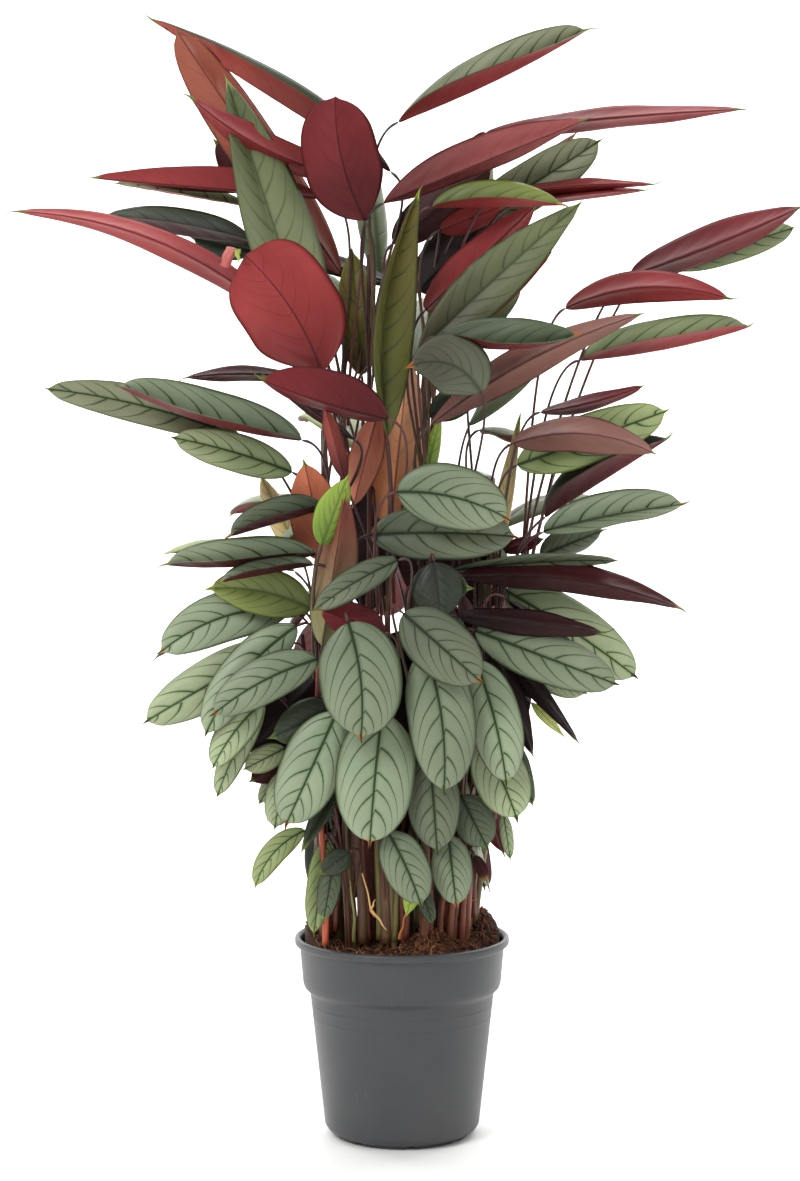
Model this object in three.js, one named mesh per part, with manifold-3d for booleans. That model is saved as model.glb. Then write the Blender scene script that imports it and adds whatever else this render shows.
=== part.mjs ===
// Silverstar calathea, a clump of prayer-plant stems in its dark grey nursery pot.
// Millimetres, +Z up. The origin is the middle of the pot's underside, and the plant faces -Y.

import * as THREE from "three";
import { mergeVertices } from "three/addons/utils/BufferGeometryUtils.js";
import Module from "manifold-3d";

const wasm = await Module();
wasm.setup();

// Pot
const potHeight = 199;
const beadRadius = 106.5;
const beadDepth = 9;
const collarTopRadius = 101.5;
const collarFootRadius = 98.5;
const collarFootHeight = 153;
const bodyTopRadius = 91.5;
const bodyTopHeight = 143;
const bodyFootRadius = 77;
const footRadius = 67;
const footWidth = 4;
const footHeight = 4;
const padRadius = 24;
const footRise = 7;
const potWall = 2.2;
const potFloor = 6.8;
const potSides = 30;
const ringHeights = [131, 119];
const ringDepth = 0.8;
const ringWidth = 3;
const drainCount = 4;
const drainRadius = 6;
const drainCircle = 49;

// Soil
const soilHeight = 187;
const soilGap = 0.3;
const soilRings = 3;
const soilSides = 24;
const rootDepth = 45;

// Blades, leaf stalks and culms
const bladeThickness = 0.9;
const stalkRadius = 1.9;
const culmFootRadius = 5;
const culmTopRadius = 2.4;
const culmSides = 6;
const widestPoint = 0.45;

// Leaves that show from the front are placed against a board through the pot's axis. The board is square
// to the line of sight of someone who stands this far away and looks at the middle of the plant.
const viewDistance = 2550;
const viewHeight = 700;
const viewPitch = 3.55;

const upper = 1;
const under = -1;
const eye = new THREE.Vector3(0, -viewDistance, viewHeight);

const colours = {
  pot: 0x5a5b5d,
  soil: 0x3a2418,
  silver: 0x8e9e82,
  wine: 0x7d3238,
};

// A leaf is: base across, up, depth; tip across, up, depth; width, sideways bow and depth sag at its middle;
// fold of the left and of the right half in degrees, towards the front when above zero; twist along it;
// the side that faces the front; and the height at which its stalk leaves the culm.
// Across and up are on the board, and depth is the true distance behind the pot's axis.
const shoots = [
  {
    name: "shoot_top_fan",
    root: [-33, 8],
    top: [-33, 12, 872],
    leaves: [
      [-37, 911, -20, -67, 1033, -32, 78, 8, 0, -15, -20, 0, under, 850],
      [-11, 959, 20, -252, 1112, 85, 56, 1, 0, 150, -20, 0, upper, 872],
      [-4, 1009, -10, 183, 1100, -55, 60, -5, 0, -10, 125, 50, upper, 872],
      [-19, 928, -25, 183, 1011, -70, 62, 0, 0, -35, -75, 0, under, 860],
    ],
  },
  {
    name: "shoot_tall_left",
    root: [-50, 20],
    top: [-58, 40, 800],
    leaves: [
      [-60, 856, 60, -224, 1098, 45, 62, 0, 0, -35, -45, 0, under, 800],
      [-82, 762, 20, -175, 1050, -2, 78, 0, 0, 45, -10, 0, upper, 700],
      [-55, 954, 18, -210, 1033, -35, 52, 12, 0, -60, -50, 0, under, 800],
      [-76, 933, 46, -309, 953, 28, 50, 0, 0, -85, -30, 0, under, 790],
      [-150, 918, 66, -285, 945, 55, 40, 0, 0, 110, -20, 0, upper, 780],
      [-140, 942, 85, -185, 988, 85, 40, 0, 0, -20, -20, 0, under, 790],
      [-9, 848, 58, -150, 890, 72, 45, 0, 0, -65, -65, 0, under, 770],
      [-150, 888, 36, -297, 914, 52, 54, 4, 0, 120, -10, 0, upper, 740],
      [-150, 881, 58, -208, 893, 64, 30, 0, 0, 0, 0, 0, upper, 740],
      [-40, 756, 45, -50, 878, 50, 40, 0, 0, -10, -10, 0, upper, 700],
    ],
  },
  {
    name: "shoot_left_high",
    root: [-62, -8],
    top: [-78, -8, 700],
    leaves: [
      [-80, 758, -75, -158, 880, -62, 104, -9, 0, -12, -15, 0, under, 690],
      [-107, 796, -38, -386, 920, -60, 54, -30, 0, -65, -62, 0, under, 700],
      [-102, 753, -40, -214, 754, -50, 40, -4, 0, -70, -70, 0, under, 680],
      [-160, 693, -12, -352, 742, -28, 44, -7, 0, 15, 15, 0, upper, 600],
      [-100, 691, -40, -282, 744, -55, 64, 9, 0, 105, 0, 0, upper, 600],
      [-110, 659, -28, -226, 693, -35, 46, -3, 0, 15, 15, 0, upper, 580],
      [-47, 691, -28, -140, 757, -50, 44, 0, 0, -55, -55, 0, under, 640],
    ],
  },
  {
    name: "shoot_right_fan",
    root: [8, 22],
    top: [30, 30, 800],
    leaves: [
      [83, 999, 28, 340, 1022, 0, 56, 3, 0, -70, -70, 0, under, 800],
      [68, 911, 32, 195, 989, 18, 50, -2, 0, 20, 20, 0, upper, 800],
      [86, 921, 55, 174, 998, 48, 30, 0, 0, -60, -60, 0, under, 800],
      [98, 936, -2, 250, 947, -16, 40, 4, 0, -72, -72, 0, under, 790],
      [118, 921, 6, 263, 937, -12, 40, 3, 0, -72, -72, 0, under, 780],
      [30, 924, -30, 158, 926, -42, 52, 0, 0, -10, 115, 0, upper, 800],
      [-9, 888, 12, 88, 963, 5, 50, 0, 0, -30, -40, 0, under, 800],
      [16, 841, 22, 90, 915, 38, 60, 0, 0, -30, -30, 0, under, 740],
      [38, 901, 6, 100, 925, 10, 30, 0, 0, -30, -30, 0, under, 800],
    ],
  },
  {
    name: "shoot_centre_right",
    root: [28, -12],
    top: [22, -18, 740],
    leaves: [
      [23, 821, -30, 132, 924, -12, 56, 0, 0, -45, -50, 0, under, 740],
      [16, 779, -48, 176, 926, -30, 52, 2, 0, 5, 20, 0, upper, 720],
      [36, 793, -25, 148, 878, -14, 34, 0, 0, -40, -30, 0, under, 730],
      [38, 793, -75, 175, 796, -88, 60, -12, 0, -5, 105, 30, upper, 700],
      [79, 739, -82, 10, 766, -88, 60, -15, 0, 10, 10, 0, upper, 560],
      [28, 706, -40, 238, 817, -72, 58, 11, 0, -55, -55, 0, under, 600],
      [30, 702, -12, 100, 755, -12, 44, 0, 0, 20, 20, 0, upper, 640],
      [20, 641, -20, 38, 713, -20, 24, 0, 0, -50, -50, 0, upper, 600],
    ],
  },
  {
    name: "shoot_right_high",
    root: [70, 22],
    top: [126, 32, 585],
    leaves: [
      [228, 856, -10, 396, 923, -30, 62, -3, 0, -50, -65, 0, under, 585],
      [252, 862, 22, 390, 900, 12, 42, -2, 0, 15, 15, 0, upper, 585],
      [163, 823, -30, 325, 833, -48, 54, 16, 0, -55, -60, 0, under, 585],
      [178, 771, 8, 344, 803, -12, 60, -5, 0, 0, 120, 0, upper, 585],
      [138, 576, 10, 198, 600, 12, 36, 0, 0, 20, -50, 0, upper, 540],
      [100, 581, 18, 140, 592, 12, 16, 0, 0, 0, 0, 0, under, 560],
    ],
  },
  {
    name: "shoot_right_middle",
    root: [62, -4],
    top: [98, -16, 560],
    leaves: [
      [111, 688, -60, 250, 679, -75, 66, 8, 0, -60, -55, 0, under, 560],
      [138, 719, -30, 240, 745, -42, 34, -3, 0, -65, -65, 0, under, 560],
      [115, 666, -22, 261, 719, -28, 50, 0, 0, 10, 10, 0, upper, 560],
      [143, 614, -8, 264, 691, -20, 64, 0, 0, -10, 130, 30, upper, 560],
      [141, 599, -42, 278, 626, -58, 48, 3, 0, 0, 68, 0, upper, 550],
      [82, 526, 6, 118, 716, 0, 36, 0, 0, 65, 65, 0, upper, 520],
    ],
  },
  {
    name: "shoot_middle",
    root: [-14, -14],
    top: [-12, -26, 640],
    leaves: [
      [-15, 694, -58, 16, 939, -48, 62, 18, 0, 110, -10, 0, upper, 620],
      [-14, 712, -92, -140, 751, -104, 70, 3, 0, -80, -25, 0, under, 600],
      [-12, 600, -5, 6, 769, 0, 64, 0, 0, -40, -40, 0, under, 560],
      [-25, 716, -18, -48, 628, -24, 44, 0, 0, -45, -45, 0, under, 620],
      [-5, 639, -85, 103, 614, -97, 62, 8, 0, 5, 5, 0, upper, 560],
      [-32, 596, -60, 110, 595, -70, 54, 3, 0, 5, 5, 0, upper, 540],
      [-57, 651, -62, -77, 724, -66, 26, 0, 0, -50, -50, 0, under, 600],
    ],
  },
  {
    name: "shoot_left_middle",
    root: [-77, -25],
    top: [-84, -48, 520],
    leaves: [
      [-82, 571, -55, -97, 666, -60, 50, -2, 0, -15, -20, 0, under, 510],
      [-77, 623, -72, -171, 595, -80, 48, 0, 0, 115, 0, 0, upper, 520],
      [-80, 586, -88, -56, 651, -88, 40, 0, 0, 30, -50, 0, upper, 520],
      [-80, 486, -90, -57, 634, -90, 60, 0, 0, -50, -45, 0, under, 480],
      [-86, 577, -70, -234, 566, -84, 56, 6, 0, 110, 10, 0, upper, 520],
      [-88, 566, -80, -180, 549, -90, 34, 0, 0, 120, 0, 0, upper, 515],
      [-92, 523, -60, -190, 543, -68, 48, -7, 0, 15, 15, 0, upper, 500],
      [-102, 576, 5, -140, 653, 12, 30, 0, 0, -20, -50, 0, upper, 500],
    ],
  },
  {
    name: "shoot_left_skirt",
    root: [-70, 4],
    top: [-98, -20, 500],
    leaves: [
      [-110, 523, -48, -239, 481, -65, 50, -13, 0, 10, 10, 0, upper, 490],
      [-117, 486, -52, -254, 411, -72, 50, -2, 0, -10, -10, 0, upper, 470],
      [-105, 505, -80, -195, 400, -95, 46, -10, 0, -15, -15, 0, upper, 480],
      [-140, 429, -82, -188, 366, -90, 34, -4, 0, -10, -10, 0, upper, 440],
      [-137, 429, -68, -184, 337, -74, 27, -4, 0, -10, -10, 0, upper, 430],
      [-117, 371, -30, -142, 329, -34, 18, 0, 0, 0, 0, 0, upper, 400],
      [-112, 376, -44, -150, 351, -48, 30, 0, 0, -20, -20, 0, under, 400],
      [-82, 456, -56, -154, 381, -60, 70, 0, 0, -10, -10, 0, under, 430],
    ],
  },
  {
    name: "shoot_left_front",
    root: [-48, -32],
    top: [-60, -58, 450],
    leaves: [
      [-84, 472, -104, -186, 419, -114, 44, -6, 0, -10, -10, 0, upper, 440],
      [-117, 383, -62, -156, 363, -68, 26, 0, 0, 10, 10, 0, upper, 400],
      [-62, 423, -74, -128, 395, -84, 44, 0, 0, -10, -10, 0, upper, 430],
      [-117, 361, -50, -127, 305, -54, 30, 0, 0, -10, -10, 0, upper, 370],
      [-65, 419, -90, -115, 309, -106, 62, 0, 0, -12, -12, 0, upper, 400],
      [-97, 301, -60, -146, 247, -76, 24, -8, 0, 0, 0, 0, upper, 290],
      [-64, 351, -72, -100, 281, -84, 22, 0, 0, 40, 40, 0, upper, 350],
      [-52, 279, -70, -81, 258, -80, 24, 0, 0, 10, 10, 0, upper, 280],
      [-76, 291, -60, -88, 200, -70, 28, 0, 0, -30, 20, 0, upper, 290],
      [-68, 271, -75, -78, 213, -86, 24, 0, 0, -20, -20, 0, upper, 280],
    ],
  },
  {
    name: "shoot_front",
    root: [-8, -40],
    top: [-22, -70, 520],
    leaves: [
      [-54, 509, -128, -41, 396, -145, 80, 6, 0, -10, -10, 0, upper, 500],
      [-20, 419, -104, -32, 290, -118, 77, -1, 0, -12, -12, 0, upper, 430],
      [-14, 299, -100, 18, 229, -112, 44, 2, 0, -8, -8, 0, upper, 320],
      [-4, 571, -96, -85, 523, -114, 30, -3, 0, 20, 20, 0, upper, 515],
      [-17, 499, -98, -80, 521, -106, 40, 0, 0, -30, -30, 0, under, 490],
    ],
  },
  {
    name: "shoot_front_right",
    root: [22, -38],
    top: [26, -62, 520],
    leaves: [
      [1, 518, -124, 76, 452, -142, 58, 0, 0, -8, -8, 0, upper, 500],
      [23, 483, -112, 42, 343, -130, 66, 7, 0, -12, -12, 0, upper, 470],
      [28, 376, -85, 35, 283, -96, 52, 0, 0, -12, -12, 0, upper, 380],
      [46, 296, -76, 54, 228, -88, 40, 0, 0, -12, -12, 0, upper, 310],
      [32, 569, -82, 39, 514, -90, 52, 0, 0, -15, -15, 0, upper, 515],
      [20, 548, -70, 66, 543, -76, 36, 0, 0, 0, 0, 0, upper, 510],
      [20, 271, -70, 5, 218, -78, 22, 0, 0, -20, -20, 0, upper, 280],
      [18, 246, -58, 30, 209, -64, 16, 0, 0, -10, -10, 0, upper, 250],
    ],
  },
  {
    name: "shoot_right_skirt",
    root: [46, -28],
    top: [66, -40, 500],
    leaves: [
      [73, 471, -88, 104, 351, -100, 52, 4, 0, -12, -12, 0, upper, 450],
      [80, 389, -68, 114, 315, -80, 54, 2, 0, -12, -12, 0, upper, 390],
      [113, 391, -52, 130, 328, -60, 22, 0, 0, -20, -20, 0, upper, 390],
      [58, 336, -70, 84, 286, -78, 42, 0, 0, -12, -12, 0, upper, 340],
      [101, 319, -50, 108, 274, -56, 14, 0, 0, -20, -20, 0, upper, 330],
      [73, 501, -64, 212, 448, -80, 50, 0, 0, 0, 0, 0, upper, 490],
      [123, 471, -36, 182, 439, -44, 34, 0, 0, 0, 0, 0, upper, 480],
      [88, 494, -62, 130, 378, -70, 40, 0, 0, -55, -55, 0, under, 480],
      [83, 496, -54, 176, 389, -58, 34, 3, 0, -60, -60, 0, under, 480],
      [73, 276, -45, 85, 250, -50, 12, 0, 0, 0, 0, 0, under, 290],
    ],
  },
  {
    name: "shoot_right_low",
    root: [56, -18],
    top: [80, -36, 530],
    leaves: [
      [53, 554, -58, 278, 523, -74, 54, 14, 0, -50, -60, 0, under, 520],
      [48, 561, -48, 213, 571, -54, 34, 3, 0, 65, -65, 0, upper, 530],
      [55, 516, -88, 198, 499, -100, 50, 2, 0, -65, -60, 0, under, 500],
      [103, 533, -44, 176, 483, -54, 22, 0, 0, -60, -60, 0, under, 510],
      [103, 541, -8, 232, 456, -22, 56, 3, 0, -5, -5, 0, upper, 520],
      [95, 481, -20, 115, 401, -28, 50, 0, 0, -20, -20, 0, under, 470],
      [129, 429, -30, 161, 396, -34, 16, 0, 0, 55, 55, 0, upper, 420],
    ],
  },
];

// A leaf at the back is: direction round the pot in degrees, distance out and height of its base, reach
// outwards, rise to its tip, width, fold of both halves, and the height at which its stalk leaves the culm.
const backShoots = [
  {
    name: "shoot_back_right",
    root: [44, 44],
    top: [58, 58, 640],
    leaves: [
      [34, 104, 500, 120, -60, 54, -10, 480],
      [46, 96, 420, 80, -110, 60, -12, 400],
      [38, 124, 610, 150, 20, 58, -20, 600],
      [54, 104, 540, 120, -70, 62, -10, 520],
      [50, 116, 700, 160, 90, 60, -45, 640],
      [34, 92, 350, 56, -90, 46, -12, 340],
      [50, 88, 320, 44, -90, 50, -12, 320],
    ],
  },
  {
    name: "shoot_back",
    root: [10, 62],
    top: [12, 82, 760],
    leaves: [
      [74, 100, 470, 90, -110, 66, -12, 450],
      [94, 104, 560, 130, -60, 62, -10, 540],
      [70, 116, 640, 150, 10, 58, -15, 620],
      [84, 112, 760, 170, 80, 62, -40, 740],
      [66, 100, 830, 120, 170, 60, -40, 760],
      [80, 86, 350, 44, -100, 54, -12, 340],
      [102, 84, 330, 40, -90, 46, -12, 320],
    ],
  },
  {
    name: "shoot_back_left",
    root: [-26, 54],
    top: [-40, 88, 720],
    leaves: [
      [120, 106, 520, 110, -90, 64, -12, 500],
      [112, 112, 680, 160, 30, 60, -20, 680],
      [104, 110, 840, 110, 190, 58, -40, 720],
      [132, 116, 760, 170, 90, 60, -45, 700],
      [124, 92, 400, 60, -110, 58, -12, 390],
      [140, 112, 620, 150, 0, 56, -15, 600],
    ],
  },
  {
    name: "shoot_back_skirt",
    root: [-56, 30],
    top: [-84, 50, 560],
    leaves: [
      [150, 112, 470, 100, -90, 58, -12, 460],
      [166, 116, 520, 140, -50, 54, -10, 500],
      [158, 118, 570, 150, 30, 54, -20, 550],
      [146, 98, 350, 50, -100, 50, -12, 350],
      [172, 100, 380, 60, -90, 46, -12, 370],
    ],
  },
];

// The point at a given depth that shows at this place on the board.
function onBoard(across, up, depth) {
  const pitch = THREE.MathUtils.degToRad(viewPitch);
  const seen = new THREE.Vector3(across, up * Math.sin(pitch), up * Math.cos(pitch));
  const ray = seen.sub(eye);
  return eye.clone().addScaledVector(ray, (depth + viewDistance) / ray.y);
}

// Half the width of a blade, as a share of the most: a blunt foot, then a longer run to the tip.
function bladeProfile(t) {
  if (t < widestPoint) {
    return Math.pow(1 - Math.pow(1 - t / widestPoint, 2.2), 0.6);
  }
  return Math.pow(1 - Math.pow((t - widestPoint) / (1 - widestPoint), 2.2), 0.72);
}

// A front leaf's midrib bends sideways on the board and sags in depth, and the blade faces the eye.
function frontLeaf(row) {
  const [ax, au, ay, bx, bu, by, width, bow, sag, foldLeft, foldRight, twist, , join] = row;
  const length = Math.hypot(bx - ax, bu - au);
  const midX = (ax + bx) / 2 - (2 * bow * (bu - au)) / length;
  const midU = (au + bu) / 2 + (2 * bow * (bx - ax)) / length;
  return {
    base: onBoard(ax, au, ay),
    bend: onBoard(midX, midU, (ay + by) / 2 + 2 * sag),
    tip: onBoard(bx, bu, by),
    leftOf: (point, along) => eye.clone().sub(point).cross(along).normalize(),
    width,
    foldLeft,
    foldRight,
    twist,
    join,
  };
}

// A back leaf arches outwards from the culm, with its blade square to the upright plane of its midrib.
function backLeaf(row) {
  const [around, out, height, reach, rise, width, fold, join] = row;
  const angle = THREE.MathUtils.degToRad(around);
  const outward = new THREE.Vector3(Math.cos(angle), Math.sin(angle), 0);
  const sideways = new THREE.Vector3(-Math.sin(angle), Math.cos(angle), 0);
  const middle = outward.clone().multiplyScalar(out + reach * 0.5);
  return {
    base: outward.clone().multiplyScalar(out).setZ(height),
    bend: middle.setZ(height + rise * 0.5 + reach * 0.3),
    tip: outward.clone().multiplyScalar(out + reach).setZ(height + rise),
    leftOf: () => sideways,
    width,
    foldLeft: fold,
    foldRight: fold,
    twist: 0,
    join,
  };
}

// The point and direction of a leaf's midrib, a quadratic curve from base to tip.
function midrib(leaf, t) {
  const point = leaf.base.clone().multiplyScalar((1 - t) * (1 - t));
  point.addScaledVector(leaf.bend, 2 * t * (1 - t)).addScaledVector(leaf.tip, t * t);
  const along = leaf.bend.clone().sub(leaf.base).multiplyScalar(1 - t);
  along.addScaledVector(leaf.tip.clone().sub(leaf.bend), t).normalize();
  return { point, along };
}

// The blade's two halves at t: each one's direction from the midrib and the direction it faces.
function bladeFrame(leaf, t) {
  const { point, along } = midrib(leaf, t);
  const left = leaf.leftOf(point, along);
  const front = along.clone().cross(left);
  const turn = leaf.twist * (t - 0.5);
  const angles = [leaf.foldLeft + turn, leaf.foldRight - turn].map(THREE.MathUtils.degToRad);
  const halves = [1, -1].map((sign, i) => {
    const out = left.clone().multiplyScalar(sign * Math.cos(angles[i]));
    out.addScaledVector(front, Math.sin(angles[i]));
    const normal = left.clone().multiplyScalar(-sign * Math.sin(angles[i]));
    normal.addScaledVector(front, Math.cos(angles[i]));
    return { out, normal };
  });
  const normal = halves[0].normal.clone().add(halves[1].normal).normalize();
  return { point, along, halves, normal };
}

function solid(positions, triangles) {
  const mesh = new wasm.Mesh({
    numProp: 3,
    vertProperties: new Float32Array(positions),
    triVerts: new Uint32Array(triangles),
  });
  return new wasm.Manifold(mesh);
}

// The stalk leaves the culm upwards and arches over to meet the blade in line with its midrib.
function stalkCurve(shoot, leaf) {
  const start = culmPoint(shoot, Math.min(leaf.join, shoot.top[2]) - 6);
  const { along } = midrib(leaf, 0);
  const distance = start.distanceTo(leaf.base);
  const lift = culmPoint(shoot, 1).sub(culmPoint(shoot, 0)).normalize();
  return new THREE.CubicBezierCurve3(
    start,
    start.clone().addScaledVector(lift, distance * 0.4),
    leaf.base.clone().addScaledVector(along, -distance * 0.35),
    leaf.base,
  );
}

// A leaf is one closed sweep: a three-sided stalk that opens into a blade of left margin, midrib and right
// margin, each with a front and a back point. The front and the back have the same diagonals.
function leafSolid(shoot, leaf) {
  const positions = [];
  const triangles = [];
  const put = (point) => {
    positions.push(point.x, point.y, point.z);
    return positions.length / 3 - 1;
  };
  const quad = (a, b, c, d) => triangles.push(a, b, c, a, c, d);

  const curve = stalkCurve(shoot, leaf);
  const length = curve.getLength();
  const steps = length > 120 ? 4 : length > 45 ? 3 : 2;
  const foot = bladeFrame(leaf, 0);
  const rings = [];
  let front = foot.normal.clone();
  for (let i = steps; i >= 0; i--) {
    const share = i / steps;
    const along = curve.getTangent(share);
    front = front.clone().addScaledVector(along, -front.dot(along)).normalize();
    const left = front.clone().cross(along);
    const radius = THREE.MathUtils.lerp(stalkRadius, stalkRadius * 0.7, share);
    const centre = curve.getPoint(share);
    const corner = (x, y) => {
      return centre.clone().addScaledVector(left, x * radius).addScaledVector(front, y * radius);
    };
    rings.unshift([put(corner(0.9, 0.5)), put(corner(-0.9, 0.5)), put(corner(0, -1))]);
  }
  triangles.push(rings[0][0], rings[0][2], rings[0][1]);
  for (let i = 0; i < steps; i++) {
    const [left, right, back] = rings[i];
    const [nextLeft, nextRight, nextBack] = rings[i + 1];
    quad(left, right, nextRight, nextLeft);
    quad(right, back, nextBack, nextRight);
    quad(back, left, nextLeft, nextBack);
  }

  const rows = stationsFor(leaf).map((t) => {
    const { point, halves, normal } = bladeFrame(leaf, t);
    const reach = (leaf.width / 2) * bladeProfile(t);
    const pair = (centre, facing) => [1, -1].map((sign) => {
      return put(centre.clone().addScaledVector(facing, (sign * bladeThickness) / 2));
    });
    const margin = (half) => pair(point.clone().addScaledVector(half.out, reach), half.normal);
    return [margin(halves[0]), pair(point, normal), margin(halves[1])];
  });
  const [left, right, back] = rings[steps];
  const [[leftFront, leftBack], [midFront, midBack], [rightFront, rightBack]] = rows[0];
  triangles.push(left, right, midFront, left, midFront, leftFront, right, rightFront, midFront);
  triangles.push(left, leftFront, leftBack, right, rightBack, rightFront);
  triangles.push(back, midBack, right, right, midBack, rightBack);
  triangles.push(back, left, midBack, left, leftBack, midBack);
  for (let i = 0; i + 1 < rows.length; i++) {
    const [[lf, lb], [mf, mb], [rf, rb]] = rows[i];
    const [[nlf, nlb], [nmf, nmb], [nrf, nrb]] = rows[i + 1];
    quad(mf, nmf, nlf, lf);
    quad(mb, lb, nlb, nmb);
    quad(mf, rf, nrf, nmf);
    quad(mb, nmb, nrb, rb);
    quad(lf, nlf, nlb, lb);
    quad(rf, rb, nrb, nrf);
  }
  const end = bladeFrame(leaf, 1);
  const tipFront = put(end.point.clone().addScaledVector(end.normal, bladeThickness / 2));
  const tipBack = put(end.point.clone().addScaledVector(end.normal, -bladeThickness / 2));
  const [[lf, lb], [mf, mb], [rf, rb]] = rows[rows.length - 1];
  triangles.push(mf, tipFront, lf, mf, rf, tipFront, mb, lb, tipBack, mb, tipBack, rb);
  quad(lf, tipFront, tipBack, lb);
  quad(rf, rb, tipBack, tipFront);
  return solid(positions, triangles);
}

// A tapered tube of flat sides along a list of points, closed at both ends.
function stemSolid(points, startRadius, endRadius, sides) {
  const positions = [];
  const triangles = [];
  const last = points.length - 1;
  points.forEach((point, i) => {
    const radius = THREE.MathUtils.lerp(startRadius, endRadius, i / last);
    for (let k = 0; k < sides; k++) {
      const angle = (2 * Math.PI * k) / sides;
      positions.push(point.x + radius * Math.cos(angle), point.y + radius * Math.sin(angle), point.z);
    }
  });
  for (let i = 0; i < last; i++) {
    for (let k = 0; k < sides; k++) {
      const a = i * sides + k;
      const b = i * sides + ((k + 1) % sides);
      triangles.push(a, b, b + sides, a, b + sides, a + sides);
    }
  }
  for (let k = 1; k + 1 < sides; k++) {
    triangles.push(0, k + 1, k, last * sides, last * sides + k, last * sides + k + 1);
  }
  return solid(positions, triangles);
}

// The culm is straight, from its foot in the soil to its top.
function culmPoint(shoot, height) {
  const [rootX, rootY] = shoot.root;
  const [topX, topY, topZ] = shoot.top;
  const share = (height - soilHeight) / (topZ - soilHeight);
  return new THREE.Vector3(rootX + (topX - rootX) * share, rootY + (topY - rootY) * share, height);
}

// The culm's ends, with its foot this much deeper and wider for the hole that it stands in.
function culmSolid(shoot, gap) {
  const ends = [culmPoint(shoot, soilHeight - rootDepth - gap), culmPoint(shoot, shoot.top[2] + gap)];
  return stemSolid(ends, culmFootRadius + 1.3 * gap, culmTopRadius + 1.3 * gap, culmSides);
}

function stationsFor(leaf) {
  if (leaf.width > 50) {
    return [0.1, 0.28, 0.5, 0.72, 0.9];
  }
  return leaf.width > 30 ? [0.12, 0.4, 0.68, 0.89] : [0.18, 0.5, 0.82];
}

function shootSolid(shoot, leaves) {
  const reaches = leaves.map((leaf) => leafSolid(shoot, leaf));
  return reaches.reduce((joined, leaf) => joined.add(leaf), culmSolid(shoot, 0));
}

function toGeometry(body) {
  const { vertProperties, triVerts } = body.getMesh();
  const geometry = new THREE.BufferGeometry();
  geometry.setAttribute("position", new THREE.BufferAttribute(vertProperties, 3));
  geometry.setIndex(new THREE.BufferAttribute(triVerts, 1));
  return geometry;
}

function toSolid(geometry) {
  geometry.deleteAttribute("normal");
  geometry.deleteAttribute("uv");
  const merged = mergeVertices(geometry, 1e-4);
  return solid(merged.attributes.position.array, merged.index.array);
}

// A profile of [radius, height] points, going round from the axis at the foot to the axis at the top.
function lathe(profile, sides) {
  const geometry = new THREE.LatheGeometry(profile.map(([r, z]) => new THREE.Vector2(r, z)), sides);
  geometry.rotateX(Math.PI / 2);
  return geometry;
}

// The pot's wall radius outside at a height below the collar.
function bodyRadius(height) {
  const share = (height - footHeight - footRise) / (bodyTopHeight - footHeight - footRise);
  return THREE.MathUtils.lerp(bodyFootRadius, bodyTopRadius, share);
}

function potSolid() {
  const rings = ringHeights.flatMap((height) => [
    [bodyRadius(height) + ringDepth, height + ringWidth / 2],
    [bodyRadius(height), height - ringWidth / 2],
  ]);
  const profile = [
    [0, 0],
    [padRadius, 0],
    [padRadius + footWidth, footHeight],
    [footRadius - footWidth - 2, footHeight],
    [footRadius - footWidth, 0],
    [footRadius, 0],
    [footRadius + 1, footHeight],
    [bodyFootRadius - 4, footHeight + 1],
    [bodyFootRadius, footHeight + footRise],
    ...rings.reverse(),
    [bodyTopRadius, bodyTopHeight],
    [collarFootRadius - 1.5, collarFootHeight - 5],
    [collarFootRadius, collarFootHeight],
    [collarTopRadius, potHeight - beadDepth],
    [beadRadius - 1, potHeight - beadDepth + 1.5],
    [beadRadius, potHeight - beadDepth / 2],
    [beadRadius - 1.5, potHeight - 1],
    [beadRadius - 4, potHeight],
    [collarTopRadius - potWall, potHeight - 4],
    [collarFootRadius - potWall, collarFootHeight],
    [bodyTopRadius - potWall, bodyTopHeight],
    [bodyFootRadius - potWall, potFloor + 5],
    [bodyFootRadius - 8, potFloor],
    [0, potFloor],
  ];
  let body = toSolid(lathe(profile, potSides));
  for (let i = 0; i < drainCount; i++) {
    const angle = (2 * Math.PI * (i + 0.5)) / drainCount;
    const hole = new THREE.CylinderGeometry(drainRadius, drainRadius, 3 * potFloor, 8);
    hole.rotateX(Math.PI / 2);
    hole.translate(drainCircle * Math.cos(angle), drainCircle * Math.sin(angle), potFloor);
    body = body.subtract(toSolid(hole));
  }
  return body;
}

// Loose soil fills the pot, a little uneven, and heaped towards both sides at the back.
function soilTop(x, y) {
  const heap = 7 * Math.exp(-((x + 80) ** 2 + (y + 8) ** 2) / 900);
  const bank = 9 * Math.exp(-((x - 78) ** 2 + (y - 30) ** 2) / 1600);
  return soilHeight + heap + bank + 1.6 * Math.sin(x / 13) * Math.cos(y / 11);
}

function soilSolid(everyShoot) {
  const inside = [
    [0, potFloor + soilGap],
    [bodyFootRadius - 8 - soilGap, potFloor + soilGap],
    [bodyFootRadius - potWall - 2 * soilGap, potFloor + 5 + soilGap],
    [bodyTopRadius - potWall - 2 * soilGap, bodyTopHeight],
    [collarFootRadius - potWall - 2 * soilGap, collarFootHeight + soilGap],
    [collarTopRadius - potWall - 3 * soilGap - 0.6, soilHeight - 2],
  ];
  const rim = inside[inside.length - 1][0];
  for (let i = soilRings - 1; i >= 0; i--) {
    inside.push([(rim * i) / soilRings, soilHeight]);
  }
  const geometry = lathe(inside, soilSides);
  const position = geometry.attributes.position;
  for (let i = 0; i < position.count; i++) {
    if (position.getZ(i) > soilHeight - 0.5) {
      position.setZ(i, soilTop(position.getX(i), position.getY(i)));
    }
  }
  let body = toSolid(geometry);
  for (const shoot of everyShoot) {
    body = body.subtract(culmSolid(shoot, soilGap));
  }
  return body;
}

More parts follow.
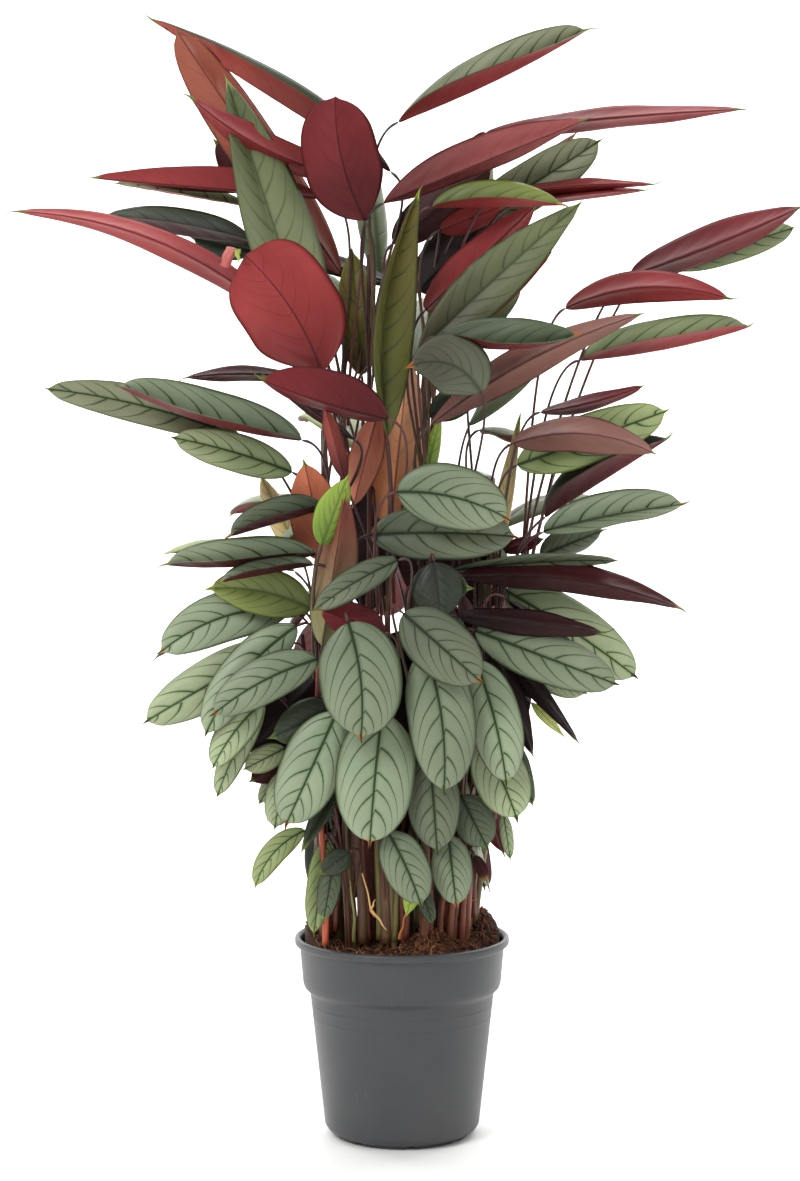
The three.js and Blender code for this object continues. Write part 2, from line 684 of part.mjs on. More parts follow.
function addMesh(group, name, body, colour, roughness) {
  const material = new THREE.MeshStandardMaterial({ color: colour, roughness, metalness: 0 });
  const mesh = new THREE.Mesh(toGeometry(body), material);
  mesh.name = name;
  group.add(mesh);
}

const plant = new THREE.Group();
addMesh(plant, "pot", potSolid(), colours.pot, 0.45);
addMesh(plant, "soil", soilSolid([...shoots, ...backShoots]), colours.soil, 0.95);
for (const shoot of shoots) {
  const red = shoot.leaves.filter((row) => row[12] === under).length * 2 > shoot.leaves.length;
  const body = shootSolid(shoot, shoot.leaves.map(frontLeaf));
  addMesh(plant, shoot.name, body, red ? colours.wine : colours.silver, 0.55);
}
for (const shoot of backShoots) {
  addMesh(plant, shoot.name, shootSolid(shoot, shoot.leaves.map(backLeaf)), colours.silver, 0.55);
}

export default plant;
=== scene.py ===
# Silverstar calathea in its nursery pot: the fine leaves, stems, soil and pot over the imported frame.
# The tables are in millimetres, and every mesh is written in metres.

import bpy
import numpy as np
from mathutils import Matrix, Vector


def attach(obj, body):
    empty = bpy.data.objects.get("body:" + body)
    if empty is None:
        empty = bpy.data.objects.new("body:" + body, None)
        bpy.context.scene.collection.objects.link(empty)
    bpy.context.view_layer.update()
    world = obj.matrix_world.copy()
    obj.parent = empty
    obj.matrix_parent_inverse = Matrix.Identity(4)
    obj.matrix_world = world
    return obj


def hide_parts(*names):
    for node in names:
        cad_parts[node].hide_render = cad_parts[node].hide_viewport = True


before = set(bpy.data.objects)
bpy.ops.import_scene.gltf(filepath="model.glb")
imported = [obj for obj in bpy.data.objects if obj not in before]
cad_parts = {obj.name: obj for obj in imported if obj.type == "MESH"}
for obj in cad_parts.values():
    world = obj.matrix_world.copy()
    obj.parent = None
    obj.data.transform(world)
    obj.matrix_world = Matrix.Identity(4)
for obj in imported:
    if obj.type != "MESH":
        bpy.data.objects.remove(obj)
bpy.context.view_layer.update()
random = np.random.default_rng(11)

viewSettings = {
    "eye": (0.0, -2550.0, 700.0),  # mm, at the height of the middle leaves
    "pitch": 3.55,                 # degrees down
    "cameraAcross": -2.0,          # mm, centres the photograph's frame
    "lens": 78.9,                  # mm
    "sensor": 36,                  # mm
}
eye = np.array(viewSettings["eye"])


def linear(hexColour):
    # sRGB hex to linear red, green, blue
    value = np.array([int(hexColour[i:i + 2], 16) for i in (1, 3, 5)]) / 255
    return np.where(value <= 0.04045, value / 12.92, ((value + 0.055) / 1.055) ** 2.4)


def unit(vectors):
    return vectors / np.maximum(np.linalg.norm(vectors, axis=-1, keepdims=True), 1e-9)


def ease(low, high, x):
    # 0 below low, 1 above high, and a smooth S between them
    share = np.clip((x - low) / (high - low), 0, 1)
    return share * share * (3 - 2 * share)


def blend(a, b, share):
    return a + (b - a) * share


def addNode(tree, kind, settings=None, links=None):
    # one node: settings by property or socket name, links as socket name to another node's output
    node = tree.nodes.new(kind)
    for name, value in (settings or {}).items():
        if isinstance(name, str) and hasattr(node, name):
            setattr(node, name, value)
        else:
            node.inputs[name].default_value = value
    for name, output in (links or {}).items():
        tree.links.new(output, node.inputs[name])
    return node


def newMaterial(name):
    material = bpy.data.materials.new(name)
    material.use_nodes = True
    tree = material.node_tree
    tree.nodes.clear()
    shader = addNode(tree, "ShaderNodeBsdfPrincipled")
    addNode(tree, "ShaderNodeOutputMaterial", links={"Surface": shader.outputs[0]})
    return material, tree, shader


def makeMesh(name, points, triangles, materials, faceMaterial=None, attributes=None):
    # points in mm go in as metres; attributes are per point, three numbers each
    used, triangles = np.unique(triangles, return_inverse=True)
    triangles = triangles.reshape(-1, 3)
    mesh = bpy.data.meshes.new(name)
    mesh.vertices.add(len(used))
    mesh.vertices.foreach_set("co", (points[used] / 1000).astype(np.float32).ravel())
    mesh.loops.add(triangles.size)
    mesh.loops.foreach_set("vertex_index", triangles.astype(np.int32).ravel())
    mesh.polygons.add(len(triangles))
    mesh.polygons.foreach_set("loop_start", np.arange(0, triangles.size, 3, dtype=np.int32))
    if faceMaterial is not None:
        mesh.polygons.foreach_set("material_index", faceMaterial.astype(np.int32))
    mesh.polygons.foreach_set("use_smooth", np.ones(len(triangles), dtype=bool))
    for material in materials:
        mesh.materials.append(material)
    for key, values in (attributes or {}).items():
        kind, prop, width = ("FLOAT_COLOR", "color", 4) if key == "tone" else ("FLOAT_VECTOR", "vector", 3)
        data = np.ones((len(used), width), dtype=np.float32)
        data[:, :3] = values[used]
        mesh.attributes.new(key, kind, "POINT").data.foreach_set(prop, data.ravel())
    mesh.update(calc_edges=True)
    piece = bpy.data.objects.new(name, mesh)
    bpy.context.scene.collection.objects.link(piece)
    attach(piece, "root")
    return piece


def joinParts(parts):
    # puts several (points, triangles, face material, attributes) into one
    points, triangles, faceMaterial, start = [], [], [], 0
    keys = parts[0][3].keys()
    attributes = {key: [] for key in keys}
    for partPoints, partTriangles, partMaterial, partAttributes in parts:
        points.append(partPoints)
        triangles.append(partTriangles + start)
        faceMaterial.append(np.broadcast_to(partMaterial, len(partTriangles)))
        for key in keys:
            attributes[key].append(partAttributes[key])
        start += len(partPoints)
    joined = {key: np.concatenate(values) for key, values in attributes.items()}
    return np.concatenate(points), np.concatenate(triangles), np.concatenate(faceMaterial), joined


def gridTriangles(index):
    # two triangles for each cell of a grid of point numbers, without those that close up at a pole
    a, b, c, d = index[:-1, :-1], index[1:, :-1], index[1:, 1:], index[:-1, 1:]
    triangles = np.stack([a, b, c, a, c, d], axis=-1).reshape(-1, 3)
    first, second, third = triangles.T
    return triangles[(first != second) & (second != third) & (first != third)]


print("camera, floor and light")
camera = bpy.data.objects.new("camera", bpy.data.cameras.new("camera"))
bpy.context.scene.collection.objects.link(camera)
bpy.context.scene.camera = camera
camera.location = (viewSettings["cameraAcross"] / 1000, eye[1] / 1000, eye[2] / 1000)
camera.rotation_euler = (np.radians(90 - viewSettings["pitch"]), 0, 0)
camera.data.lens = viewSettings["lens"]
camera.data.sensor_width = viewSettings["sensor"]

studioSettings = {
    "floor": "#F6F6F4",
    "world": "#FFFFFF",
    "worldStrength": 0.52,
    "floorHalf": 9, "floorRows": (-9, -3, 0, 3),  # m, its half width and where its rows of points lie
    "wallFoot": 5, "coveRadius": 1.5, "wallTop": 7,
    "lights": [  # name, place, what it points at, size, watts
        ("softboxLeft", (-1.7, -2.3, 2.5), (0, 0, 0.6), 1.3, 68),
        ("softboxRight", (2.2, -1.9, 1.9), (0, 0, 0.6), 1.4, 12),
        ("overhead", (0.1, 0.3, 3.0), (0, 0, 0.5), 1.8, 16),
        ("wallLeft", (-3.5, 3.0, 4.6), (-2.0, 6.5, 1.6), 3.0, 330),
        ("wallRight", (3.5, 3.0, 4.6), (2.0, 6.5, 1.6), 3.0, 330),
        ("floorBehind", (0, 2.6, 4.2), (0, 3.4, 0), 3.0, 120),
    ],
}


def makeStudio(settings):
    # a floor that curves up into a wall far behind: flat, then a quarter round, then upright
    across = np.linspace(-settings["floorHalf"], settings["floorHalf"], 13)
    turn = np.linspace(0, np.pi / 2, 12)
    rows, foot, cove = settings["floorRows"], settings["wallFoot"], settings["coveRadius"]
    behind = np.concatenate([rows, foot + cove * np.sin(turn), [foot + cove]])
    height = np.concatenate([np.zeros(len(rows)), cove - cove * np.cos(turn), [settings["wallTop"]]])
    x, k = np.meshgrid(across, np.arange(len(behind)))
    points = np.stack([x, behind[k], height[k]], axis=-1).reshape(-1, 3)
    index = np.arange(len(points)).reshape(x.shape)
    mesh = bpy.data.meshes.new("floor")
    mesh.from_pydata(points.tolist(), [], gridTriangles(index)[:, ::-1].tolist())
    mesh.shade_smooth()
    floor = bpy.data.objects.new("floor", mesh)
    bpy.context.scene.collection.objects.link(floor)
    material, tree, shader = newMaterial("paintedStudioFloor")  # flat white paint with no shine
    shader.inputs["Base Color"].default_value = (*linear(settings["floor"]), 1)
    shader.inputs["Roughness"].default_value = 0.9
    mesh.materials.append(material)

    world = bpy.data.worlds.new("studio")
    world.use_nodes = True
    world.node_tree.nodes["Background"].inputs[0].default_value = (*linear(settings["world"]), 1)
    world.node_tree.nodes["Background"].inputs[1].default_value = settings["worldStrength"]
    bpy.context.scene.world = world
    for name, place, target, size, watts in settings["lights"]:
        light = bpy.data.lights.new(name, "AREA")
        light.energy = watts
        light.size = size
        lamp = bpy.data.objects.new(name, light)
        lamp.location = place
        aim = unit(np.array(target) - np.array(place))
        lamp.rotation_mode = "QUATERNION"
        lamp.rotation_quaternion = Vector(aim).to_track_quat("-Z", "Y")
        bpy.context.scene.collection.objects.link(lamp)


makeStudio(studioSettings)
bpy.context.scene.view_settings.view_transform = "Standard"

print("leaves and stems")
# A leaf at the front is: base across, up and depth; tip across, up and depth; width and sideways bow; fold of
# its left and right half in degrees; twist; the side that faces the front; the height at which its stalk
# leaves the culm; then the look of its upper side, its underside and its tip.
# Each leafy stem is its culm's foot, its culm's top and its leaves.
frontShoots = {
    "shoot_top_fan": ((-33, 8), (-33, 12, 872), [
        (-37, 911, -20, -67, 1033, -32, 78, 8, -15, -20, 0, "under", 850, "green", "wine", "blunt"),
        (-11, 959, 20, -252, 1112, 85, 56, 1, 150, -20, 0, "upper", 872, "dark", "brownRed", "hookGreen"),
        (-4, 1009, -10, 183, 1100, -55, 60, -5, -10, 125, 50, "upper", 872, "grey", "red", "hookGreen"),
        (-19, 928, -25, 183, 1011, -70, 62, 0, -35, -75, 0, "under", 860, "green", "rose", "green"),
    ]),
    "shoot_tall_left": ((-50, 20), (-58, 40, 800), [
        (-60, 856, 60, -224, 1098, 45, 66, 0, -35, -45, 0, "under", 800, "green", "salmon", "blunt"),
        (-82, 762, 20, -175, 1050, -2, 78, 0, 45, -10, 0, "upper", 700, "fadeGreen", "salmon", "light"),
        (-55, 954, 18, -210, 1033, -35, 52, 12, -60, -50, 0, "under", 800, "green", "red", "hookGreen"),
        (-76, 933, 46, -309, 953, 28, 50, 0, -85, -30, 0, "under", 790, "green", "red", "green"),
        (-150, 924, 66, -285, 947, 55, 28, 0, 100, -20, 0, "upper", 780, "sage", "pink", "green"),
        (-140, 942, 85, -185, 988, 85, 40, 0, -20, -20, 0, "under", 790, "dark", "maroon", "green"),
        (-9, 848, 58, -150, 890, 72, 45, 0, -65, -65, 0, "under", 770, "dark", "black", "tan"),
        (-150, 888, 36, -297, 914, 52, 54, 4, 120, -10, 0, "upper", 740, "dark", "maroon", "green"),
        (-150, 881, 58, -208, 893, 64, 30, 0, 0, 0, 0, "upper", 740, "dark", "maroon", "green"),
        (-40, 756, 45, -50, 878, 50, 40, 0, -10, -10, 0, "upper", 700, "olive", "maroon", "green"),
    ]),
    "shoot_left_high": ((-62, -8), (-78, -8, 700), [
        (-80, 758, -75, -156, 875, -62, 98, -9, -12, -15, 0, "under", 690, "green", "red", "flat"),
        (-107, 796, -38, -386, 920, -60, 54, -30, -65, -62, 0, "under", 700, "green", "pink", "hookGreen"),
        (-102, 753, -40, -214, 754, -50, 40, -4, -70, -70, 0, "under", 680, "dark", "maroon", "hookTan"),
        (-160, 693, -12, -352, 742, -28, 38, -7, 15, 15, 0, "upper", 600, "grey", "wine", "green"),
        (-100, 691, -40, -282, 744, -55, 64, 9, 105, 0, 0, "upper", 600, "mid", "wine", "green"),
        (-110, 659, -28, -226, 693, -35, 39, -3, 15, 15, 0, "upper", 580, "sage", "wine", "green"),
        (-47, 691, -28, -140, 757, -50, 20, 0, -55, -55, 0, "under", 640, "dark", "maroon", "green"),
    ]),
    "shoot_right_fan": ((8, 22), (30, 30, 800), [
        (83, 999, 28, 340, 1022, 0, 56, 3, -70, -70, 0, "under", 800, "green", "red", "hookGreen"),
        (68, 911, 32, 195, 989, 18, 50, -2, 20, 20, 0, "upper", 800, "grey", "wine", "green"),
        (86, 921, 55, 174, 998, 48, 30, 0, -60, -60, 0, "under", 800, "green", "pink", "green"),
        (98, 936, -2, 250, 947, -16, 38, 4, -72, -72, 0, "under", 790, "green", "red", "hookGreen"),
        (112, 926, 6, 242, 941, -12, 34, 3, -72, -72, 0, "under", 780, "green", "red", "hookGreen"),
        (30, 924, -30, 158, 926, -42, 52, 0, -10, 115, 0, "upper", 800, "mossGreen", "red", "hookTan"),
        (-9, 888, 12, 88, 963, 5, 50, 0, -30, -40, 0, "under", 800, "dark", "maroon", "green"),
        (16, 841, 22, 90, 915, 38, 60, 0, -30, -30, 0, "under", 740, "dark", "black", "green"),
        (38, 901, 6, 100, 925, 10, 30, 0, -30, -30, 0, "under", 800, "dark", "red", "green"),
    ]),
    "shoot_centre_right": ((28, -12), (22, -18, 740), [
        (23, 821, -30, 132, 924, -12, 56, 0, -45, -50, 0, "under", 740, "green", "red", "green"),
        (16, 779, -48, 176, 926, -30, 52, 2, 5, 20, 0, "upper", 720, "umber", "red", "green"),
        (36, 793, -25, 148, 878, -14, 34, 0, -40, -30, 0, "under", 730, "green", "red", "green"),
        (38, 793, -75, 175, 796, -88, 60, -12, -5, 105, 30, "upper", 700, "forest", "wine", "orange"),
        (79, 739, -82, 10, 766, -88, 60, -15, 10, 10, 0, "upper", 560, "slate", "maroon", "orange"),
        (28, 706, -40, 238, 817, -72, 58, 11, -55, -55, 0, "under", 600, "green", "brownPink", "green"),
        (28, 714, -12, 84, 750, -12, 34, 0, 20, 20, 0, "upper", 640, "dark", "maroon", "green"),
        (20, 641, -20, 38, 713, -20, 24, 0, -50, -50, 0, "upper", 600, "lime", "lime", "lime"),
    ]),
    "shoot_right_high": ((70, 22), (126, 32, 585), [
        (228, 856, -10, 396, 923, -30, 62, -3, -50, -65, 0, "under", 585, "green", "wine", "hookGreen"),
        (252, 866, 22, 390, 903, 12, 34, -2, 15, 15, 0, "upper", 585, "sage", "wine", "green"),
        (163, 823, -30, 325, 833, -48, 54, 16, -55, -60, 0, "under", 585, "green", "red", "hookGreen"),
        (178, 771, 8, 344, 803, -12, 60, -5, 0, 120, 0, "upper", 585, "sage", "red", "hookTan"),
        (138, 576, 10, 198, 600, 12, 36, 0, 20, -50, 0, "upper", 540, "shade", "maroon", "green"),
        (100, 581, 18, 140, 592, 12, 16, 0, 0, 0, 0, "under", 560, "dark", "claret", "green"),
    ]),
    "shoot_right_middle": ((62, -4), (98, -16, 560), [
        (111, 688, -60, 250, 679, -75, 62, 14, -60, -55, 0, "under", 560, "green", "brownPink", "green"),
        (138, 719, -30, 240, 745, -42, 34, -3, -65, -65, 0, "under", 560, "green", "wine", "green"),
        (115, 666, -22, 261, 719, -28, 50, 0, 10, 10, 0, "upper", 560, "light", "wine", "lime"),
        (143, 614, -8, 264, 691, -20, 64, 0, -10, 130, 30, "upper", 560, "dark", "claret", "hookGreen"),
        (141, 599, -42, 278, 626, -58, 48, 3, 0, 68, 0, "upper", 550, "mid", "wine", "hookTan"),
        (82, 526, 6, 118, 716, 0, 25, 0, -45, -45, 0, "upper", 520, "tan", "lime", "lime"),
    ]),
    "shoot_middle": ((-14, -14), (-12, -26, 640), [
        (-15, 694, -58, 16, 939, -48, 62, 18, 80, -10, 0, "upper", 620, "deepOlive", "oliveRed", "lime"),
        (-14, 712, -92, -140, 751, -104, 70, 3, -80, -25, 0, "under", 600, "green", "wine", "hookGreen"),
        (-12, 600, -5, 6, 769, 0, 64, 0, -40, -40, 0, "under", 560, "tan", "apricot", "tan"),
        (-25, 716, -18, -48, 628, -24, 44, 0, -45, -45, 0, "under", 620, "salmonLight", "salmonLight", "tan"),
        (-5, 639, -85, 103, 614, -97, 62, 8, 5, 5, 0, "upper", 560, "mid", "wine", "orange"),
        (-32, 596, -60, 110, 595, -70, 54, 3, 5, 5, 0, "upper", 540, "dusk", "wine", "orange"),
        (-57, 651, -62, -77, 724, -66, 26, 0, -50, -50, 0, "under", 600, "orange", "brownRed", "orange"),
    ]),
    "shoot_left_middle": ((-77, -25), (-84, -48, 520), [
        (-82, 571, -55, -97, 666, -60, 50, -2, -15, -20, 0, "under", 510, "green", "orange", "green"),
        (-77, 623, -72, -171, 595, -80, 48, 0, 115, 0, 0, "upper", 520, "shade", "maroon", "hookTan"),
        (-80, 586, -88, -56, 651, -88, 40, 0, 30, -50, 0, "upper", 520, "lime", "lime", "lime"),
        (-80, 486, -90, -57, 634, -90, 60, 0, -50, -45, 0, "under", 480, "green", "tanRose", "lime"),
        (-86, 577, -70, -234, 566, -84, 56, 6, 110, 10, 0, "upper", 520, "mid", "maroon", "hookTan"),
        (-88, 566, -80, -180, 549, -90, 34, 0, 120, 0, 0, "upper", 515, "mid", "maroon", "hookTan"),
        (-92, 523, -60, -190, 543, -68, 48, -7, 15, 15, 0, "upper", 500, "mossGreen", "wine", "lime"),
        (-102, 576, 5, -140, 653, 12, 30, 0, -20, -50, 0, "upper", 500, "cream", "cream", "cream"),
    ]),
    "shoot_left_skirt": ((-70, 4), (-98, -20, 500), [
        (-110, 523, -48, -239, 481, -65, 50, -13, 10, 10, 0, "upper", 490, "silver", "wine", "tan"),
        (-117, 486, -52, -254, 411, -72, 50, -2, -10, -10, 0, "upper", 470, "bright", "wine", "green"),
        (-105, 505, -80, -195, 400, -95, 46, -10, -15, -15, 0, "upper", 480, "silver", "wine", "green"),
        (-140, 429, -82, -188, 366, -90, 34, -4, -10, -10, 0, "upper", 440, "bright", "wine", "green"),
        (-137, 429, -68, -184, 337, -74, 27, -4, -10, -10, 0, "upper", 430, "bright", "wine", "green"),
        (-117, 371, -30, -142, 329, -34, 18, 0, 0, 0, 0, "upper", 400, "bright", "wine", "green"),
        (-112, 376, -44, -150, 351, -48, 30, 0, -20, -20, 0, "under", 400, "shade", "maroon", "green"),
        (-82, 456, -56, -154, 381, -60, 70, 0, -10, -10, 0, "under", 430, "dark", "black", "green"),
    ]),
    "shoot_left_front": ((-48, -32), (-60, -58, 450), [
        (-84, 472, -104, -186, 419, -114, 44, -6, -10, -10, 0, "upper", 440, "mid", "wine", "orange"),
        (-117, 383, -62, -156, 363, -68, 26, 0, 10, 10, 0, "upper", 400, "sage", "wine", "green"),
        (-62, 423, -74, -128, 395, -84, 44, 0, -10, -10, 0, "upper", 430, "dark", "black", "green"),
        (-117, 361, -50, -127, 305, -54, 30, 0, -10, -10, 0, "upper", 370, "bright", "wine", "green"),
        (-65, 419, -90, -115, 309, -106, 62, 0, -12, -12, 0, "upper", 400, "silver", "wine", "orange"),
        (-97, 301, -60, -146, 247, -76, 24, -8, 0, 0, 0, "upper", 290, "light", "wine", "lime"),
        (-64, 351, -72, -100, 281, -84, 22, 0, 40, 40, 0, "upper", 350, "dark", "black", "green"),
        (-52, 279, -70, -81, 258, -80, 24, 0, 10, 10, 0, "upper", 280, "dark", "black", "green"),
        (-76, 291, -60, -88, 200, -70, 28, 0, -30, 20, 0, "upper", 290, "light", "light", "lime"),
        (-68, 271, -75, -78, 213, -86, 24, 0, -20, -20, 0, "upper", 280, "shade", "light", "lime"),
    ]),
    "shoot_front": ((-8, -40), (-22, -70, 520), [
        (-54, 509, -128, -41, 396, -145, 80, 6, -10, -10, 0, "upper", 500, "mid", "wine", "orange"),
        (-20, 419, -104, -32, 290, -118, 77, -1, -12, -12, 0, "upper", 430, "silver", "wine", "orange"),
        (-14, 299, -100, 18, 229, -112, 44, 2, -8, -8, 0, "upper", 320, "mid", "wine", "green"),
        (-4, 571, -96, -85, 523, -114, 30, -3, 20, 20, 0, "upper", 515, "dusk", "claret", "green"),
        (-17, 499, -98, -80, 521, -106, 40, 0, -30, -30, 0, "under", 490, "green", "wine", "tan"),
    ]),
    "shoot_front_right": ((22, -38), (26, -62, 520), [
        (1, 518, -124, 76, 452, -142, 58, 0, -8, -8, 0, "upper", 500, "dusk", "wine", "orange"),
        (23, 483, -112, 42, 343, -130, 66, 7, -12, -12, 0, "upper", 470, "mid", "wine", "green"),
        (28, 376, -85, 35, 283, -96, 52, 0, -12, -12, 0, "upper", 380, "dusk", "wine", "green"),
        (46, 296, -76, 54, 228, -88, 40, 0, -12, -12, 0, "upper", 310, "mid", "wine", "orange"),
        (32, 569, -82, 39, 514, -90, 52, 0, -15, -15, 0, "upper", 515, "deepGreen", "black", "green"),
        (20, 548, -70, 66, 543, -76, 36, 0, 0, 0, 0, "upper", 510, "dark", "black", "green"),
        (20, 271, -70, 5, 218, -78, 22, 0, -20, -20, 0, "upper", 280, "lime", "lime", "lime"),
        (18, 246, -58, 30, 209, -64, 16, 0, -10, -10, 0, "upper", 250, "shade", "wine", "green"),
    ]),
    "shoot_right_skirt": ((46, -28), (66, -40, 500), [
        (73, 471, -88, 104, 351, -100, 52, 4, -12, -12, 0, "upper", 450, "silver", "wine", "green"),
        (80, 389, -68, 114, 315, -80, 54, 2, -12, -12, 0, "upper", 390, "bright", "wine", "green"),
        (113, 391, -52, 130, 328, -60, 17, 0, -20, -20, 0, "upper", 390, "shade", "wine", "green"),
        (58, 336, -70, 84, 286, -78, 42, 0, -12, -12, 0, "upper", 340, "shade", "wine", "green"),
        (101, 319, -50, 108, 274, -56, 14, 0, -20, -20, 0, "upper", 330, "bright", "wine", "green"),
        (73, 501, -64, 212, 448, -80, 50, 0, 0, 0, 0, "upper", 490, "mid", "wine", "green"),
        (123, 471, -36, 182, 439, -44, 34, 0, 0, 0, 0, "upper", 480, "bright", "wine", "green"),
        (88, 494, -62, 130, 378, -70, 40, 0, -55, -55, 0, "under", 480, "dark", "black", "green"),
        (83, 496, -54, 176, 389, -58, 34, 3, -60, -60, 0, "under", 480, "dark", "black", "tan"),
        (73, 276, -45, 85, 250, -50, 12, 0, 0, 0, 0, "under", 290, "dark", "maroon", "tan"),
    ]),
    "shoot_right_low": ((56, -18), (80, -36, 530), [
        (53, 554, -58, 278, 523, -74, 54, 14, -50, -60, 0, "under", 520, "dark", "maroon", "hookTan"),
        (48, 561, -48, 213, 571, -54, 34, 3, 65, -65, 0, "upper", 530, "dusk", "maroon", "green"),
        (55, 516, -88, 198, 499, -100, 50, 2, -65, -60, 0, "under", 500, "dark", "soot", "hookGreen"),
        (103, 533, -44, 176, 483, -54, 22, 0, -60, -60, 0, "under", 510, "dark", "black", "green"),
        (103, 541, -8, 232, 456, -22, 56, 3, -5, -5, 0, "upper", 520, "bright", "wine", "green"),
        (95, 481, -20, 115, 401, -28, 50, 0, -20, -20, 0, "under", 470, "dark", "black", "green"),
        (129, 429, -30, 161, 396, -34, 12, 0, -30, -30, 0, "upper", 420, "yellowLime", "yellowLime", "yellowLime"),
    ]),
}

# A leaf at the back is: direction round the pot in degrees, distance out and height of its base, reach outwards,
# rise to its tip, width, fold of both halves, the height at which its stalk leaves the culm, and its two looks.
backShoots = {
    "shoot_back_right": ((44, 44), (58, 58, 640), [
        (34, 104, 500, 120, -60, 54, -10, 480, "silver", "wine"),
        (46, 96, 420, 80, -110, 60, -12, 400, "silver", "wine"),
        (38, 124, 600, 150, 20, 54, -20, 594, "green", "wine"),
        (54, 104, 540, 120, -70, 62, -10, 520, "silver", "wine"),
        (54, 117, 704, 156, 80, 54, -45, 640, "green", "claret"),
        (42, 90, 353, 50, -86, 45, -12, 340, "grey", "wine"),
        (50, 88, 320, 44, -90, 50, -12, 320, "shade", "wine"),
    ]),
    "shoot_back": ((10, 62), (12, 82, 760), [
        (74, 100, 470, 90, -110, 66, -12, 450, "silver", "wine"),
        (94, 104, 560, 130, -60, 62, -10, 540, "grey", "wine"),
        (70, 114, 630, 148, 8, 57, -15, 614, "silver", "wine"),
        (84, 112, 760, 170, 80, 62, -40, 740, "green", "red"),
        (66, 100, 830, 120, 170, 60, -40, 760, "green", "pink"),
        (80, 86, 350, 44, -100, 54, -12, 340, "silver", "wine"),
        (102, 84, 330, 40, -90, 46, -12, 320, "grey", "wine"),
    ]),
    "shoot_back_left": ((-26, 54), (-40, 88, 720), [
        (120, 106, 520, 110, -90, 64, -12, 500, "silver", "wine"),
        (112, 112, 680, 160, 30, 60, -20, 680, "light", "wine"),
        (101, 111, 846, 108, 180, 48, -50, 726, "green", "red"),
        (130, 116, 755, 150, 80, 56, -45, 700, "green", "claret"),
        (124, 92, 400, 60, -110, 58, -12, 390, "grey", "wine"),
        (135, 112, 612, 140, 0, 55, -18, 594, "silver", "wine"),
    ]),
    "shoot_back_skirt": ((-56, 30), (-84, 50, 560), [
        (150, 112, 470, 100, -90, 58, -12, 460, "silver", "wine"),
        (166, 116, 520, 140, -50, 54, -10, 500, "grey", "wine"),
        (158, 116, 558, 144, 16, 52, -20, 544, "light", "wine"),
        (132, 94, 360, 42, -84, 46, -12, 350, "silver", "wine"),
        (160, 96, 388, 46, -76, 42, -12, 370, "shade", "wine"),
    ]),
}

# More leaves for some of the stems: near-black ones inside the clump, which are painted shade that fills its dark
# middle, and some at its sides that face outwards.
moreLeaves = {
    "shoot_front": [
        (4, 500, 20, -22, 372, 34, 78, 0, -15, -15, 0, "under", 480, "dark", "black", "green"),
        (-30, 640, 18, -34, 520, 30, 66, 0, -25, -25, 0, "under", 600, "dark", "soot", "green"),
        (6, 350, 24, -2, 226, 40, 84, 0, -15, -15, 0, "upper", 360, "shadow", "black", "green"),
    ],
    "shoot_front_right": [
        (46, 520, 4, 44, 380, 22, 74, 0, -15, -15, 0, "under", 500, "dark", "black", "green"),
        (18, 646, 16, 30, 520, 30, 66, 0, -20, -20, 0, "under", 600, "dark", "soot", "green"),
        (44, 350, 30, 56, 232, 44, 66, 0, -15, -15, 0, "under", 370, "dark", "black", "green"),
    ],
    "shoot_left_front": [
        (-52, 500, 10, -66, 372, 22, 74, 0, -15, -15, 0, "under", 470, "dark", "black", "green"),
        (-42, 360, 6, -50, 232, 18, 62, 0, -15, -15, 0, "upper", 400, "shadow", "black", "green"),
        (-72, 330, 20, -84, 232, 30, 40, 0, -15, -15, 0, "upper", 360, "shadow", "black", "green"),
    ],
    "shoot_right_skirt": [
        (80, 520, 10, 92, 400, 26, 66, 0, -15, -15, 0, "under", 500, "dark", "black", "green"),
        (8, 46, 470, 34, -120, 58, -12, 440, "mid", "wine"),
        (-14, 56, 400, 26, -110, 54, -12, 380, "silver", "wine"),
        (-30, 60, 520, 30, -100, 50, -12, 490, "mid", "wine"),
    ],
    "shoot_right_low": [
        (70, 620, -2, 84, 520, 12, 60, 0, -20, -20, 0, "under", 530, "dark", "soot", "green"),
        (24, 68, 540, 44, -90, 54, -15, 520, "silver", "wine"),
        (4, 74, 600, 46, -50, 50, -18, 530, "mid", "wine"),
        (-8, 62, 330, 24, -80, 44, -12, 330, "silver", "wine"),
    ],
    "shoot_right_middle": [
        (16, 80, 700, 60, -20, 52, -20, 560, "grey", "wine"),
        (36, 84, 790, 60, 60, 50, -30, 560, "green", "red"),
    ],
    "shoot_left_skirt": [
        (172, 58, 470, 34, -120, 58, -12, 440, "mid", "wine"),
        (192, 64, 410, 26, -110, 54, -12, 390, "silver", "wine"),
        (206, 70, 520, 30, -100, 50, -12, 480, "mid", "wine"),
    ],
    "shoot_left_middle": [
        (164, 72, 560, 46, -60, 52, -15, 520, "silver", "wine"),
        (184, 76, 620, 46, -30, 50, -18, 520, "mid", "wine"),
        (186, 64, 320, 24, -80, 44, -12, 320, "silver", "wine"),
    ],
    "shoot_left_high": [
        (150, 80, 720, 60, 20, 52, -20, 640, "grey", "wine"),
        (128, 70, 800, 60, 60, 50, -30, 700, "green", "red"),
    ],
}

